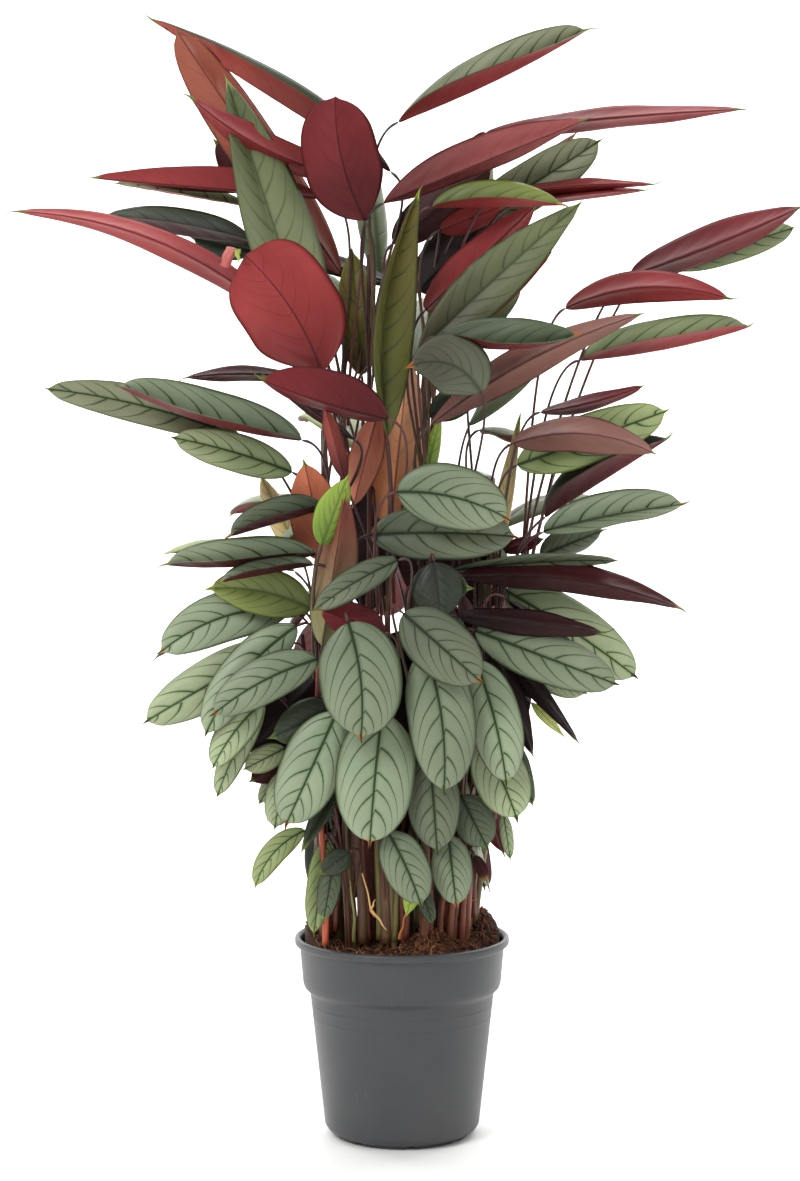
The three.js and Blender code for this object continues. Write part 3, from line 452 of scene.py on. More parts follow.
bladeSettings = {
    "rows": 38,
    "halfColumns": 10,
    "thickness": 0.7,       # mm
    "ridge": 0.8,           # mm, how far the midrib stands out below
    "drip": 10.0,           # mm, the thin tip past the blade
    "dripFoot": 4.2,        # mm, half its width where it starts
    "quilt": 0.55,          # mm, how far the blade swells between two side veins
    "wave": 0.9,            # mm, at the margin
    "arch": 0.095,          # of the half width
    "veinStep": 25.0,       # mm along the midrib
    "veinLean": 0.7,        # mm along for each mm out
    "veinSweep": 1.35,      # more of that towards the margin
    "veinStart": 2.5,       # mm that a side vein runs beside the midrib before it leaves
    "widest": 0.45,         # of the length
    "narrow": 34,           # mm, a leaf up to this width has fewer points and a shorter drip tip
}
# the power and the exponent of the outline from its widest place to its tip
bladeForms = {
    "flat": (5.0, 0.5), "blunt": (3.0, 0.5), "silver": (2.5, 0.56), "slender": (1.8, 0.9), "plain": (2.2, 0.74),
}

# The near-black looks shade, shadow, dark, deepGreen, maroon, black and the near-black wine at the end of the table
# are painted shade for leaves deep in the clump or under other leaves, not the leaves' own colour.
leafLooks = {  # at the foot, at the tip
    "silver": ("#7E8D71", "#929F82"), "bright": ("#8D9B78", "#A3AF8A"), "mid": ("#69755E", "#7F8A70"),
    "dusk": ("#4E5644", "#68705A"), "grey": ("#646950", "#7C8064"), "sage": ("#74805A", "#909A74"),
    "shade": ("#3E4735", "#565F49"), "shadow": ("#141811", "#1E241A"), "light": ("#7D8B58", "#96A270"),
    "green": ("#4C5838", "#68744C"), "mossGreen": ("#5A6434", "#7A8646"), "umber": ("#383424", "#6C7450"),
    "slate": ("#5A5E4C", "#474639"), "deepGreen": ("#23291F", "#343B2E"), "forest": ("#3C4633", "#525E46"),
    # fadeGreen goes dark towards its tip, where a red leaf above shades it: painted shade.
    "fadeGreen": ("#A6B088", "#5A6240"), "dark": ("#232A1D", "#363E2C"), "olive": ("#544E1E", "#6A6222"),
    "lime": ("#6F8C34", "#94AC48"), "yellowLime": ("#B4BC60", "#D4D888"), "tan": ("#8A8A4C", "#B09868"),
    "cream": ("#C8B074", "#D8C490"), "wine": ("#4C1519", "#6C2226"), "claret": ("#3C0F12", "#561A1E"),
    "red": ("#68201F", "#8C3233"), "pink": ("#7E2A2B", "#A0403F"), "rose": ("#5A2424", "#944846"),
    # salmon and salmonLight are warm undersides made lighter where light shines through the thin blade: partly their
    # own colour, partly painted light.
    "brownRed": ("#4E1E1C", "#9A4840"), "salmon": ("#78382E", "#92503F"), "deepOlive": ("#5A5E2C", "#5C5620"),
    "oliveRed": ("#6A4426", "#7A4A2C"), "apricot": ("#BE7C54", "#DA9E76"), "salmonLight": ("#A85E4A", "#C47C64"),
    "maroon": ("#2C0F11", "#42191A"), "black": ("#150B0C", "#231415"), "orange": ("#8E4A36", "#B4664A"),
    # the last look on this line, a near-black wine, is painted shade for undersides deep in the clump
    "brownPink": ("#6A443C", "#8A6056"), "tanRose": ("#84805A", "#7A4438"), "soot": ("#1E0E10", "#301719"),
}
silverLooks = ("silver", "bright", "mid", "dusk", "grey", "sage", "shade", "light")
rimLooks = {  # the margin of the upper side
    "other": "#46552F", "light": "#7F9438", "sage": "#6C7C40", "mossGreen": "#7D8C30", "lime": "#93AB3C",
    "bright": "#5B7038", "silver": "#4F6238", "mid": "#43522F", "dusk": "#36432A", "olive": "#9CAF3A",
    "tan": "#9C8453", "cream": "#D2BC82", "yellowLime": "#B0B85C", "shade": "#2C3A22",
}

tipLooks = {  # colour, length as a share of the usual drip tip, sideways curl
    "green": ("#6B7A32", 0.8, 0.1), "hookGreen": ("#6F8336", 1.5, 0.5), "hookTan": ("#A88A55", 1.5, 0.5),
    "tan": ("#A88A55", 0.9, 0.2), "orange": ("#B4692C", 0.9, 0.2), "lime": ("#A3B54A", 0.9, 0.2),
    "light": ("#9BAA6C", 0.9, 0.1), "blunt": ("#6E4A34", 0.35, 0.6), "flat": ("#6E4A34", 0.35, 0.6),
    "cream": ("#D8C288", 0.9, 0.1), "yellowLime": ("#C2C873", 0.9, 0.1),
}


def onBoard(across, up, depth):
    # the point at this depth that shows at this place on an upright board through the pot's axis
    pitch = np.radians(viewSettings["pitch"])
    seen = np.array([across, up * np.sin(pitch), up * np.cos(pitch)])
    ray = seen - eye
    return eye + ray * (depth - eye[1]) / ray[1]


def frontLeaf(row):
    ax, au, ay, bx, bu, by, width, bow, foldLeft, foldRight, twist, side, join = row[:13]
    length = np.hypot(bx - ax, bu - au)
    # a quadratic curve goes half the way to its bend, so the bend lies twice the bow beside the middle
    middle = ((ax + bx) / 2 - 2 * bow * (bu - au) / length, (au + bu) / 2 + 2 * bow * (bx - ax) / length)
    return {
        "base": onBoard(ax, au, ay),
        "bend": onBoard(*middle, (ay + by) / 2),
        "tip": onBoard(bx, bu, by),
        "leftOf": lambda points, along: unit(np.cross(eye - points, along)),
        "width": width, "folds": (foldLeft, foldRight), "twist": twist,
        "up": 1 if side == "upper" else -1, "join": join, "looks": row[13:],
    }


def backLeaf(row):
    # the midrib lies in an upright plane through the pot's axis and arches by a share of its reach
    around, out, height, reach, rise, width, fold, join = row[:8]
    angle = np.radians(around)
    outward = np.array([np.cos(angle), np.sin(angle), 0])
    sideways = np.array([-np.sin(angle), np.cos(angle), 0])
    upright = np.array([0, 0, 1.0])
    return {
        "base": outward * out + upright * height,
        "bend": outward * (out + reach * 0.5) + upright * (height + rise * 0.5 + reach * 0.3),
        "tip": outward * (out + reach) + upright * (height + rise),
        "leftOf": lambda points, along: np.broadcast_to(sideways, points.shape),
        "width": width, "folds": (fold, fold), "twist": 0, "up": 1, "join": join, "looks": (*row[8:], "green"),
    }


def midrib(leaf, t):
    # quadratic curve through base, bend and tip; past the tip it runs on in the same direction
    inside = np.clip(t, 0, 1)[:, None]
    base, bend, tip = leaf["base"], leaf["bend"], leaf["tip"]
    points = (1 - inside) ** 2 * base + 2 * inside * (1 - inside) * bend + inside ** 2 * tip
    along = unit((1 - inside) * (bend - base) + inside * (tip - bend))
    return points, along


def bladeParts(leaf, settings):
    # A blade is a grid: t runs from the foot to the end of the drip tip, s from the right margin (-1) to the
    # left (+1). A point is the midrib plus the half width times the summed directions of the folded half,
    # plus swelling between side veins, an arch and a wave along the face. The two faces share their edge.
    wide = leaf["width"] > settings["narrow"]
    rows = settings["rows"] if wide else settings["rows"] * 2 // 3
    count = settings["halfColumns"] if wide else settings["halfColumns"] * 2 // 3
    length = np.linalg.norm(np.diff(midrib(leaf, np.linspace(0, 1, 20))[0], axis=0), axis=1).sum()
    upperLook, underLook, tipLook = leaf["looks"]
    tipHex, tipShare, tipCurl = tipLooks[tipLook]
    drip = settings["drip"] * tipShare * (1 if wide else 0.6)
    q = np.linspace(0, 1, rows)
    t = (1 + drip / length) * (0.5 * q + 0.5 * (0.5 - 0.5 * np.cos(np.pi * q)))
    u = np.linspace(0, 1, count) ** 1.15
    points, along = midrib(leaf, t)
    left = leaf["leftOf"](points, along)
    front = np.cross(along, left)
    curlSign = random.choice([-1, 1])
    past = np.maximum(t - 1, 0)[:, None] * length
    points = points + past * along + past ** 2 / max(drip, 1) * tipCurl * curlSign * left

    inside = np.clip(t, 0, 1)
    silver = upperLook in silverLooks and leaf["up"] > 0
    slender = leaf["width"] < 0.3 * length
    form = tipLook if tipLook in bladeForms else "silver" if silver else "slender" if slender else "plain"
    power, exponent = bladeForms[form]
    footExponent = 1.0 if form == "flat" else 0.8 if slender or form == "blunt" else 0.6
    widest = settings["widest"]
    # one minus a power of the distance from the widest place, itself raised to an exponent that rounds the end
    profile = np.where(
        inside < widest,
        (1 - np.clip(1 - inside / widest, 0, 1) ** 2.2) ** footExponent,
        np.maximum(1 - (np.maximum(inside - widest, 0) / (1 - widest)) ** power, 0) ** exponent,
    )
    dripHalf = np.clip((t[-1] - t) / (t[-1] - 0.95), 0, 1) ** 1.2 * ease(0.8, 0.95, t)
    dripHalf = dripHalf * settings["dripFoot"] * min(1, leaf["width"] / 45)
    footHalf = 1.5 * (1 - ease(0, 0.06, t)) * (q > 0)
    half = np.sqrt((leaf["width"] / 2 * profile) ** 2 + dripHalf ** 2 + footHalf ** 2)

    turn = leaf["twist"] * (inside - 0.5)
    sides = []
    seed = random.uniform(0, 6.28, 4)
    waves = random.uniform(1.0, 2.2)
    step = np.clip(length / 6.0, 8, settings["veinStep"])
    for sign, fold, phase in ((-1, leaf["folds"][1], seed[0]), (1, leaf["folds"][0], seed[1])):
        softness = 0.12 if abs(fold) > 40 else 0.35
        angle = np.radians(fold + sign * turn)[:, None] * ease(0, softness, u)[None, :]
        out = np.concatenate([np.zeros((rows, 1)), np.cumsum(
            0.5 * (np.cos(angle[:, 1:]) + np.cos(angle[:, :-1])) * np.diff(u), axis=1)], axis=1)
        ahead = np.concatenate([np.zeros((rows, 1)), np.cumsum(
            0.5 * (np.sin(angle[:, 1:]) + np.sin(angle[:, :-1])) * np.diff(u), axis=1)], axis=1)
        place = points[:, None] + half[:, None, None] * (
            sign * out[..., None] * left[:, None] + ahead[..., None] * front[:, None])
        normal = -sign * np.sin(angle)[..., None] * left[:, None] + np.cos(angle)[..., None] * front[:, None]
        x = u[None, :] * half[:, None]
        sweep = x * (settings["veinLean"] + settings["veinSweep"] * u[None, :] ** 1.6 * (
            0.3 + 0.9 * ease(0, 0.85, t))[:, None])
        sweep = sweep + settings["veinStart"] * (1 - np.exp(-x / 2))
        vein = (t[:, None] * length - sweep) / step + 0.45 * (sign > 0)
        vein = vein + 0.13 * np.sin(1.9 * vein + phase) + 0.05 * np.sin(5 * u[None, :] + phase)
        swell = settings["quilt"] * (0.5 - 0.5 * np.cos(2 * np.pi * vein)) * ease(0, 0.25, u) * ease(1, 0.8, u)
        arch = settings["arch"] * half[:, None] * np.sin(np.pi * u)[None, :]
        wave = settings["wave"] * np.minimum(half, 22)[:, None] / 22 * u[None, :] ** 3
        wave = wave * np.sin(6.28 * waves * t[:, None] + phase)
        shift = leaf["up"] * (swell + arch) + wave
        sides.append((place + shift[..., None] * normal, normal, sign * x, vein, u))
    right, leftHalf = sides
    place, normal, x, vein = (np.concatenate([a[:, ::-1], b[:, 1:]], axis=1) for a, b in zip(right[:4], leftHalf[:4]))
    share = np.concatenate([u[::-1], u[1:]])[None, :] * np.ones((rows, 1))
    alongBlade = t[:, None] * np.ones_like(share)

    thick = settings["thickness"] / 2 * (1 - share ** 4)
    ridge = settings["ridge"] * np.exp(-(x / 1.1) ** 2) * ease(1.0, 0.2, alongBlade) * min(1, leaf["width"] / 50)
    frontThick = thick + (ridge if leaf["up"] < 0 else 0)
    backThick = thick + (ridge if leaf["up"] > 0 else 0)
    facePoints = [place + frontThick[..., None] * normal, place - backThick[..., None] * normal]

    columns = share.shape[1]
    index = np.arange(rows * columns).reshape(rows, columns)
    index[0], index[-1] = index[0, 0], index[-1, 0]
    other = index + rows * columns
    for edge in (np.s_[0, :], np.s_[-1, :], np.s_[:, 0], np.s_[:, -1]):
        other[edge] = index[edge]
    frontFaces, backFaces = gridTriangles(index), gridTriangles(other)[:, ::-1]
    faceMaterial = np.concatenate([
        np.full(len(frontFaces), 0 if leaf["up"] > 0 else 1), np.full(len(backFaces), 1 if leaf["up"] > 0 else 0)])

    tones = []
    for look, isUpper in ((upperLook, True), (underLook, False)):
        foot, end = (linear(tone) * random.uniform(0.94, 1.06) for tone in leafLooks[look])
        # the tone runs from the foot look to the tip look; the darker foot of most looks, deeper in the clump, is
        # partly the leaf's own colour and partly painted shade
        grid = blend(foot, end, ease(0.0, 0.9, alongBlade)[..., None])
        if isUpper:
            grid = blend(grid, linear(rimLooks.get(look, rimLooks["other"])), 0.55 * ease(0.82, 1.0, share)[..., None])
        tipColour = (ease(5.0, 2.4, half) * (t > 0.7))[:, None, None]
        tones.append(blend(grid, linear(tipHex), tipColour * (1 if isUpper else 0.85)))
    if leaf["up"] < 0:
        tones = tones[::-1]
    veinStrength = 1.0 if upperLook in silverLooks else 0.5
    traits = np.stack([
        np.full_like(share, veinStrength), np.full_like(share, random.uniform(0, 100)),
        blend(1.4, 0.55, np.clip(alongBlade, 0, 1)) * min(1, leaf["width"] / 45)], axis=-1)
    blade = np.stack([x, share, vein], axis=-1)
    attributes = {
        "tone": np.concatenate([tones[0].reshape(-1, 3), tones[1].reshape(-1, 3)]),
        "blade": np.concatenate([blade.reshape(-1, 3)] * 2),
        "traits": np.concatenate([traits.reshape(-1, 3)] * 2),
    }
    allPoints = np.concatenate([facePoints[0].reshape(-1, 3), facePoints[1].reshape(-1, 3)])
    return allPoints, np.concatenate([frontFaces, backFaces]), faceMaterial, attributes


stemSettings = {
    "soilHeight": 187,
    "culmFoot": 4.2,       # mm radius
    "culmTop": 2.0,
    "stalk": 1.35,         # mm radius of a leaf stalk
    "strandSides": 6,
    "culmSides": 10,
    "spread": 6.5,         # mm that stalks stand off their culm
    "nodeStep": 95,        # mm between two joints of a culm
    "sideCulms": 2,        # thin stems beside each culm
    "sink": 14,            # mm that a culm goes into the soil
    "steps": 26,           # points along a culm or a stalk
}
culmLooks = ["#7A5338", "#6A5832", "#844A34", "#5E422C", "#7E643C", "#7A3E2E"]
stalkLooks = ["#3A1B1D", "#46211F", "#301618", "#522823", "#3E2A20"]
stemLooks = {"hairyRed": ("#B0502E", "#A84A34"), "brown": ("#63462E", "#5A3A2A"), "redBrown": ("#6E3A2C", "#5C2A26"),
             "olive": ("#6E6636", "#5E5630"), "straw": ("#C89A5C", "#D8B070"), "orange": ("#C87834", "#B06A34"),
             "greenEdge": ("#8A8A4A", "#A89A5C"), "rose": ("#8A4844", "#7A3A3A"), "darkRed": ("#54201E", "#42181A"),
             "green": ("#8AA040", "#A4B050"), "pinkRoll": ("#A84A48", "#C06A66")}
# Stems that stand in front of the others: foot across, up and depth; top across, up and depth; bow in mm;
# radius at the foot and at the top; look
frontStems = {
    "left_front": [
        (-76.5, 186, -62, -82, 310, -62, 1.5, 3.2, 2.7, "hairyRed"),
        (-82, 310, -62, -84, 466, -60, -1, 2.7, 2.3, "hairyRed"),
        (-48, 189, -44, -53, 252, -50, 2, 2.0, 0.5, "greenEdge"),
        (-39, 188, -40, -50, 320, -44, 2, 5.0, 4.2, "brown"),
        (-33, 192, -36, -40, 330, -40, -2, 3.2, 3.0, "redBrown"),
        (-66, 200, -20, -68, 420, -24, 2, 3.0, 2.4, "redBrown"),
        (-54, 196, -22, -55, 400, -30, -2, 3.4, 2.6, "darkRed"),
    ],
    "front": [
        (-22, 192, -38, -27, 330, -44, 1, 3.6, 2.8, "olive"),
        (-16, 188, -44, -13, 330, -50, -2, 5.2, 4.4, "brown"),
        (-8, 190, -46, -3, 300, -50, 1, 2.6, 2.2, "olive"),
        (3, 192, -40, 9, 300, -44, 1, 3.2, 2.6, "redBrown"),
        (-3, 192, -52, 3, 217, -54, 0.5, 1.7, 0.6, "orange"),
        (-40, 258, -62, -31, 220, -64, 1, 0.7, 0.9, "straw"),
        (-31, 221, -64, -16, 201, -64, 1, 1.8, 0.5, "straw"),
        (-31, 221, -64, -27, 232, -64, 0, 1.6, 0.3, "straw"),
        (-17, 300, -18, -14, 520, -30, 1, 2.4, 2.0, "redBrown"),
        (-26, 330, -30, -30, 560, -36, -1, 2.2, 1.8, "darkRed"),
    ],
    "front_right": [
        (14, 206, -12, 15, 300, -20, 1, 2.4, 2.2, "olive"),
        (30, 214, 10, 26, 300, -10, 1, 2.8, 2.3, "redBrown"),
        (40, 214, 6, 24, 286, -8, -1, 0.8, 0.6, "straw"),
        (40, 215, 0, 38, 262, -6, 1, 2.6, 1.6, "orange"),
        (24, 208, -8, 20, 330, -16, 1, 3.0, 2.4, "darkRed"),
        (50, 216, 4, 50, 260, 0, 0.5, 3.0, 2.6, "redBrown"),
    ],
    "right_skirt": [
        (57, 213, -4, 60, 262, -6, 0.5, 4.0, 3.4, "rose"),
        (63, 216, 6, 66, 290, 0, 0.5, 2.4, 2.0, "redBrown"),
        (71, 214, 0, 73, 330, -10, 1, 2.7, 2.3, "redBrown"),
        (60, 229, -8, 76, 232, -6, 1, 0.7, 0.3, "orange"),
    ],
    "right_middle": [
        (82, 420, -4, 104, 560, -10, 1, 2.0, 1.6, "darkRed"),
        (64, 300, 0, 88, 470, -4, 2, 2.4, 2.0, "redBrown"),
    ],
    "right_high": [
        (94, 440, 16, 160, 700, 8, 2, 1.7, 1.4, "darkRed"),
        (84, 420, 20, 130, 610, 14, 2, 1.9, 1.5, "redBrown"),
    ],
    "left_high": [
        (-177, 864, -64, -170, 883, -66, -1, 4.6, 5.6, "pinkRoll"),
        (-165, 881, -70, -163, 868, -74, 0, 3.4, 0.3, "green"),
    ],
    "left_middle": [
        (-78, 470, -44, -76, 640, -48, 1, 2.0, 1.6, "redBrown"),
    ],
}


def tubeParts(points, radii, sides, tones, across):
    # rings round a path: each ring's point is the path plus the radius times the cosine and sine of two
    # directions square to the path; both ends close in a pole
    tangent = unit(np.gradient(points, axis=0))
    first = unit(np.cross(tangent, across))
    second = np.cross(tangent, first)
    angle = np.linspace(0, 2 * np.pi, sides, endpoint=False)
    ring = np.cos(angle)[None, :, None] * first[:, None] + np.sin(angle)[None, :, None] * second[:, None]
    rings = points[:, None] + radii[:, None, None] * ring
    count = len(points)
    allPoints = np.concatenate([points[:1], rings.reshape(-1, 3), points[-1:]])
    index = 1 + np.arange(count * sides).reshape(count, sides)
    index = np.concatenate([np.zeros((1, sides), int), index, np.full((1, sides), count * sides + 1)])
    index = np.concatenate([index, index[:, :1]], axis=1)
    ringTones = np.repeat(tones, sides, axis=0)
    allTones = np.concatenate([tones[:1], ringTones, tones[-1:]])
    run = np.concatenate([[0], np.cumsum(np.linalg.norm(np.diff(points, axis=0), axis=1))])
    runs = np.concatenate([run[:1], np.repeat(run, sides), run[-1:]])
    turns = np.concatenate([[0], np.tile(angle / 6.283, count), [0]])
    skin = np.stack([turns, runs, np.full_like(runs, random.uniform(0, 50))], axis=-1)
    return allPoints, gridTriangles(index), 0, {"tone": allTones, "skin": skin}


def culmPoint(shoot, height):
    # the point of the culm's straight axis, from its foot to its top, at this height
    root, top = shoot[0], shoot[1]
    share = (height - stemSettings["soilHeight"]) / (top[2] - stemSettings["soilHeight"])
    return np.stack([root[0] + (top[0] - root[0]) * share, root[1] + (top[1] - root[1]) * share,
                     np.broadcast_to(height, np.shape(share))], axis=-1)


def stalkPath(shoot, leaf, low, offset, count):
    # cubic curve from low on the culm, beside it, to the blade, which it meets nearly in line with its midrib
    start = culmPoint(shoot, np.float64(low)) + offset
    _, along = midrib(leaf, np.array([0.0]))
    distance = np.linalg.norm(start - leaf["base"])
    lift = unit(culmPoint(shoot, np.float64(shoot[1][2])) - culmPoint(shoot, np.float64(stemSettings["soilHeight"])))
    join = culmPoint(shoot, np.float64(min(leaf["join"], shoot[1][2])))
    handles = (start, blend(start + lift * distance * 0.45, join, 0.5),
               leaf["base"] - along[0] * min(distance * 0.22, 42), leaf["base"])
    t = np.linspace(0, 1, count)[:, None]
    weights = ((1 - t) ** 3, 3 * t * (1 - t) ** 2, 3 * t ** 2 * (1 - t), t ** 3)
    return sum(w * h for w, h in zip(weights, handles))


def looseStem(row, settings):
    # a straight line from foot to top, plus a bow of half a sine and a small sway, as a tube
    footAcross, footUp, footDepth, topAcross, topUp, topDepth, bow, footRadius, topRadius, look = row
    foot, top = onBoard(footAcross, footUp, footDepth), onBoard(topAcross, topUp, topDepth)
    share = np.linspace(0, 1, 18)[:, None]
    path = blend(foot, top, share) + np.array([bow, 0, 0]) * np.sin(np.pi * share)
    path = path + np.array([0.5, 0.3, 0]) * np.sin(share * 11 + random.uniform(0, 6)) * np.minimum(1, footRadius / 2)
    tones = blend(*(linear(tone) for tone in stemLooks[look]), share)
    radii = blend(footRadius, topRadius, share[:, 0])
    return tubeParts(path, radii, settings["culmSides"], tones, np.array([0, 1.0, 0]))


def shootStems(shoot, leaves, settings):
    # the culm with its joints, thinner culms beside it, and each leaf's stalk, which runs up along the
    # culm a few millimetres off it before it leaves
    parts = []
    root, top = shoot[0], shoot[1]
    soil = settings["soilHeight"]
    upAxis = np.array([0, 1.0, 0])
    ends = [(np.zeros(2), 1.0, 1.0)]
    for _ in range(settings["sideCulms"]):
        direction = random.uniform(0.1, 3.0)
        ends.append((np.array([np.cos(direction), np.sin(direction)]) * random.uniform(8, 15),
                     random.uniform(0.35, 0.75), random.uniform(0.7, 1.0)))
    for shift, reach, girth in ends:
        height = np.linspace(soil - settings["sink"], soil + (top[2] - soil) * reach, settings["steps"])
        share = np.linspace(0, 1, settings["steps"])
        path = culmPoint(shoot, height)
        sway = 1.6 * np.sin(share * 7 + random.uniform(0, 6)) * share * (1 - share) * 4
        path[:, 0] += shift[0] * (1 - share ** 1.5) + sway
        path[:, 1] += shift[1] * (1 - share ** 1.5)
        joint = np.exp(-(((height - soil + random.uniform(0, 60)) % settings["nodeStep"] - 20) / 7) ** 2)
        radii = girth * blend(settings["culmFoot"], settings["culmTop"], share ** 0.8) * (1 + 0.14 * joint)
        foot = linear(culmLooks[random.integers(len(culmLooks))])
        high = linear(stalkLooks[random.integers(len(stalkLooks))])
        tones = blend(foot, high, ease(0.25, 0.95, share)[:, None]) * (1 - 0.3 * joint[:, None])
        parts.append(tubeParts(path, radii, settings["culmSides"], tones, upAxis))
    for leaf in leaves:
        join = min(leaf["join"], top[2])
        low = max(soil - 6, join - (random.uniform(50, 150) if join > 560 else random.uniform(110, 250)))
        direction = random.uniform(0, 6.28)
        offset = settings["spread"] * random.uniform(0.5, 1.3) * np.array([np.cos(direction), np.sin(direction), 0])
        path = stalkPath(shoot, leaf, low, offset, settings["steps"])
        run = np.linspace(0, 1, len(path))
        radii = settings["stalk"] * blend(1.25, 0.85, run) * (1 + 0.35 * np.exp(-((run - 0.96) / 0.04) ** 2))
        radii[-1] *= 0.7
        tone = linear(stalkLooks[random.integers(len(stalkLooks))])
        foot = blend(tone, linear(culmLooks[random.integers(len(culmLooks))]), 0.6)
        tones = blend(foot, tone, ease(0, 0.6, run)[:, None])
        parts.append(tubeParts(path, radii, settings["strandSides"], tones, np.array([0.1, 1.0, 0])))
    for row in frontStems.get(shoot[3], []):
        parts.append(looseStem(row, settings))
    return parts


# Each band is what it reads, the kind of step, where it starts and ends, and its value there. A vein is drawn by
# the distance to it as a share of the veins' step, 25 mm, and the midrib by the distance in its half widths.
leafSkins = {
    # living leaf, waxy upper side: silver bloom between dark green veins, fine lines along them, satin shine
    "upper": {
        "name": "leafUpperWaxySilver", "roughness": 0.44, "specular": 0.32, "bump": 0.4, "lineRise": -1.0,
        "bands": {
            "rib": ("ratio", "SMOOTHSTEP", 0.8, 1.5, 1.0, 0.0), "ribHalo": ("ratio", "SMOOTHSTEP", 1.2, 4.5, 1.0, 0.0),
            "fade": ("margin", "SMOOTHSTEP", 0.78, 0.97, 1.0, 0.0),
            "vein": ("near", "SMOOTHSTEP", 0.022, 0.062, 0.95, 0.0),
            "halo": ("near", "SMOOTHSTEP", 0.03, 0.2, 0.8, 0.0), "blotches": ("blotch", "LINEAR", 0.3, 0.7, 0.88, 1.1),
            "ruled": ("striation", "LINEAR", 0.0, 0.5, 0.93, 1.04),
            "rim": ("margin", "SMOOTHSTEP", 0.955, 0.99, 0.0, 0.6),
        },
        "haloTint": (0.66, 0.76, 0.6), "lineTint": (0.13, 0.18, 0.10), "rimTint": (0.42, 0.55, 0.3),
    },
    # living leaf, underside: wine-red skin with a darker midrib, barely seen veins and a dull shine
    "under": {
        "name": "leafUnderWineSkin", "roughness": 0.52, "specular": 0.2, "bump": 0.3, "lineRise": 1.0,
        "bands": {
            "rib": ("ratio", "SMOOTHSTEP", 0.6, 1.3, 1.0, 0.0), "fade": ("margin", "SMOOTHSTEP", 0.7, 0.95, 1.0, 0.0),
            "vein": ("near", "SMOOTHSTEP", 0.015, 0.07, 0.28, 0.0),
            "blotches": ("blotch", "LINEAR", 0.3, 0.7, 0.86, 1.12),
            "ruled": ("striation", "LINEAR", 0.0, 0.5, 0.96, 1.02),
            "rim": ("margin", "SMOOTHSTEP", 0.94, 0.99, 0.0, 0.6),
        },
        "lineTint": (0.4, 0.32, 0.36), "rimTint": (0.5, 0.55, 0.5),
    },
}


def bladeInputs(tree):
    # what both faces read: the blade's own attributes, the distance to the midrib and to the nearest side vein
    tone = addNode(tree, "ShaderNodeAttribute", {"attribute_name": "tone"})
    split = {}
    for name in ("blade", "traits"):
        node = addNode(tree, "ShaderNodeAttribute", {"attribute_name": name})
        split[name] = addNode(tree, "ShaderNodeSeparateXYZ", links={0: node.outputs["Vector"]})
    blade, traits = split["blade"], split["traits"]
    across = addNode(tree, "ShaderNodeMath", {"operation": "ABSOLUTE"}, {0: blade.outputs["X"]})
    ratio = addNode(tree, "ShaderNodeMath", {"operation": "DIVIDE"}, {0: across.outputs[0], 1: traits.outputs["Z"]})
    where = addNode(tree, "ShaderNodeTexCoord").outputs["Object"]
    # veins wander over about 22 mm; eleven fine lines stand between two veins, coarser than real ones so they show
    wobble = addNode(tree, "ShaderNodeTexNoise", {"Scale": 45.0, "Detail": 2.0}, {"Vector": where})
    shifted = addNode(tree, "ShaderNodeMath", {"operation": "MULTIPLY_ADD", 1: 0.16}, {
        0: wobble.outputs["Fac"], 2: blade.outputs["Z"]})
    near = addNode(tree, "ShaderNodeMath", {"operation": "PINGPONG", 1: 0.5}, {0: shifted.outputs[0]})
    slim = addNode(tree, "ShaderNodeMath", {"operation": "MULTIPLY_ADD", 1: -0.85, 2: 1.25}, {0: blade.outputs["Y"]})
    tapered = addNode(tree, "ShaderNodeMath", {"operation": "DIVIDE"}, {0: near.outputs[0], 1: slim.outputs[0]})
    fine = addNode(tree, "ShaderNodeMath", {"operation": "MULTIPLY", 1: 11.0}, {0: shifted.outputs[0]})
    striation = addNode(tree, "ShaderNodeMath", {"operation": "PINGPONG", 1: 0.5}, {0: fine.outputs[0]})
    blotch = addNode(tree, "ShaderNodeTexNoise", {"Scale": 20.0, "Detail": 3.0}, {"Vector": where})  # 50 mm wide
    return {"tone": tone.outputs["Color"], "margin": blade.outputs["Y"], "strength": traits.outputs["X"],
            "ratio": ratio.outputs[0], "near": tapered.outputs[0], "striation": striation.outputs[0],
            "blotch": blotch.outputs["Fac"]}


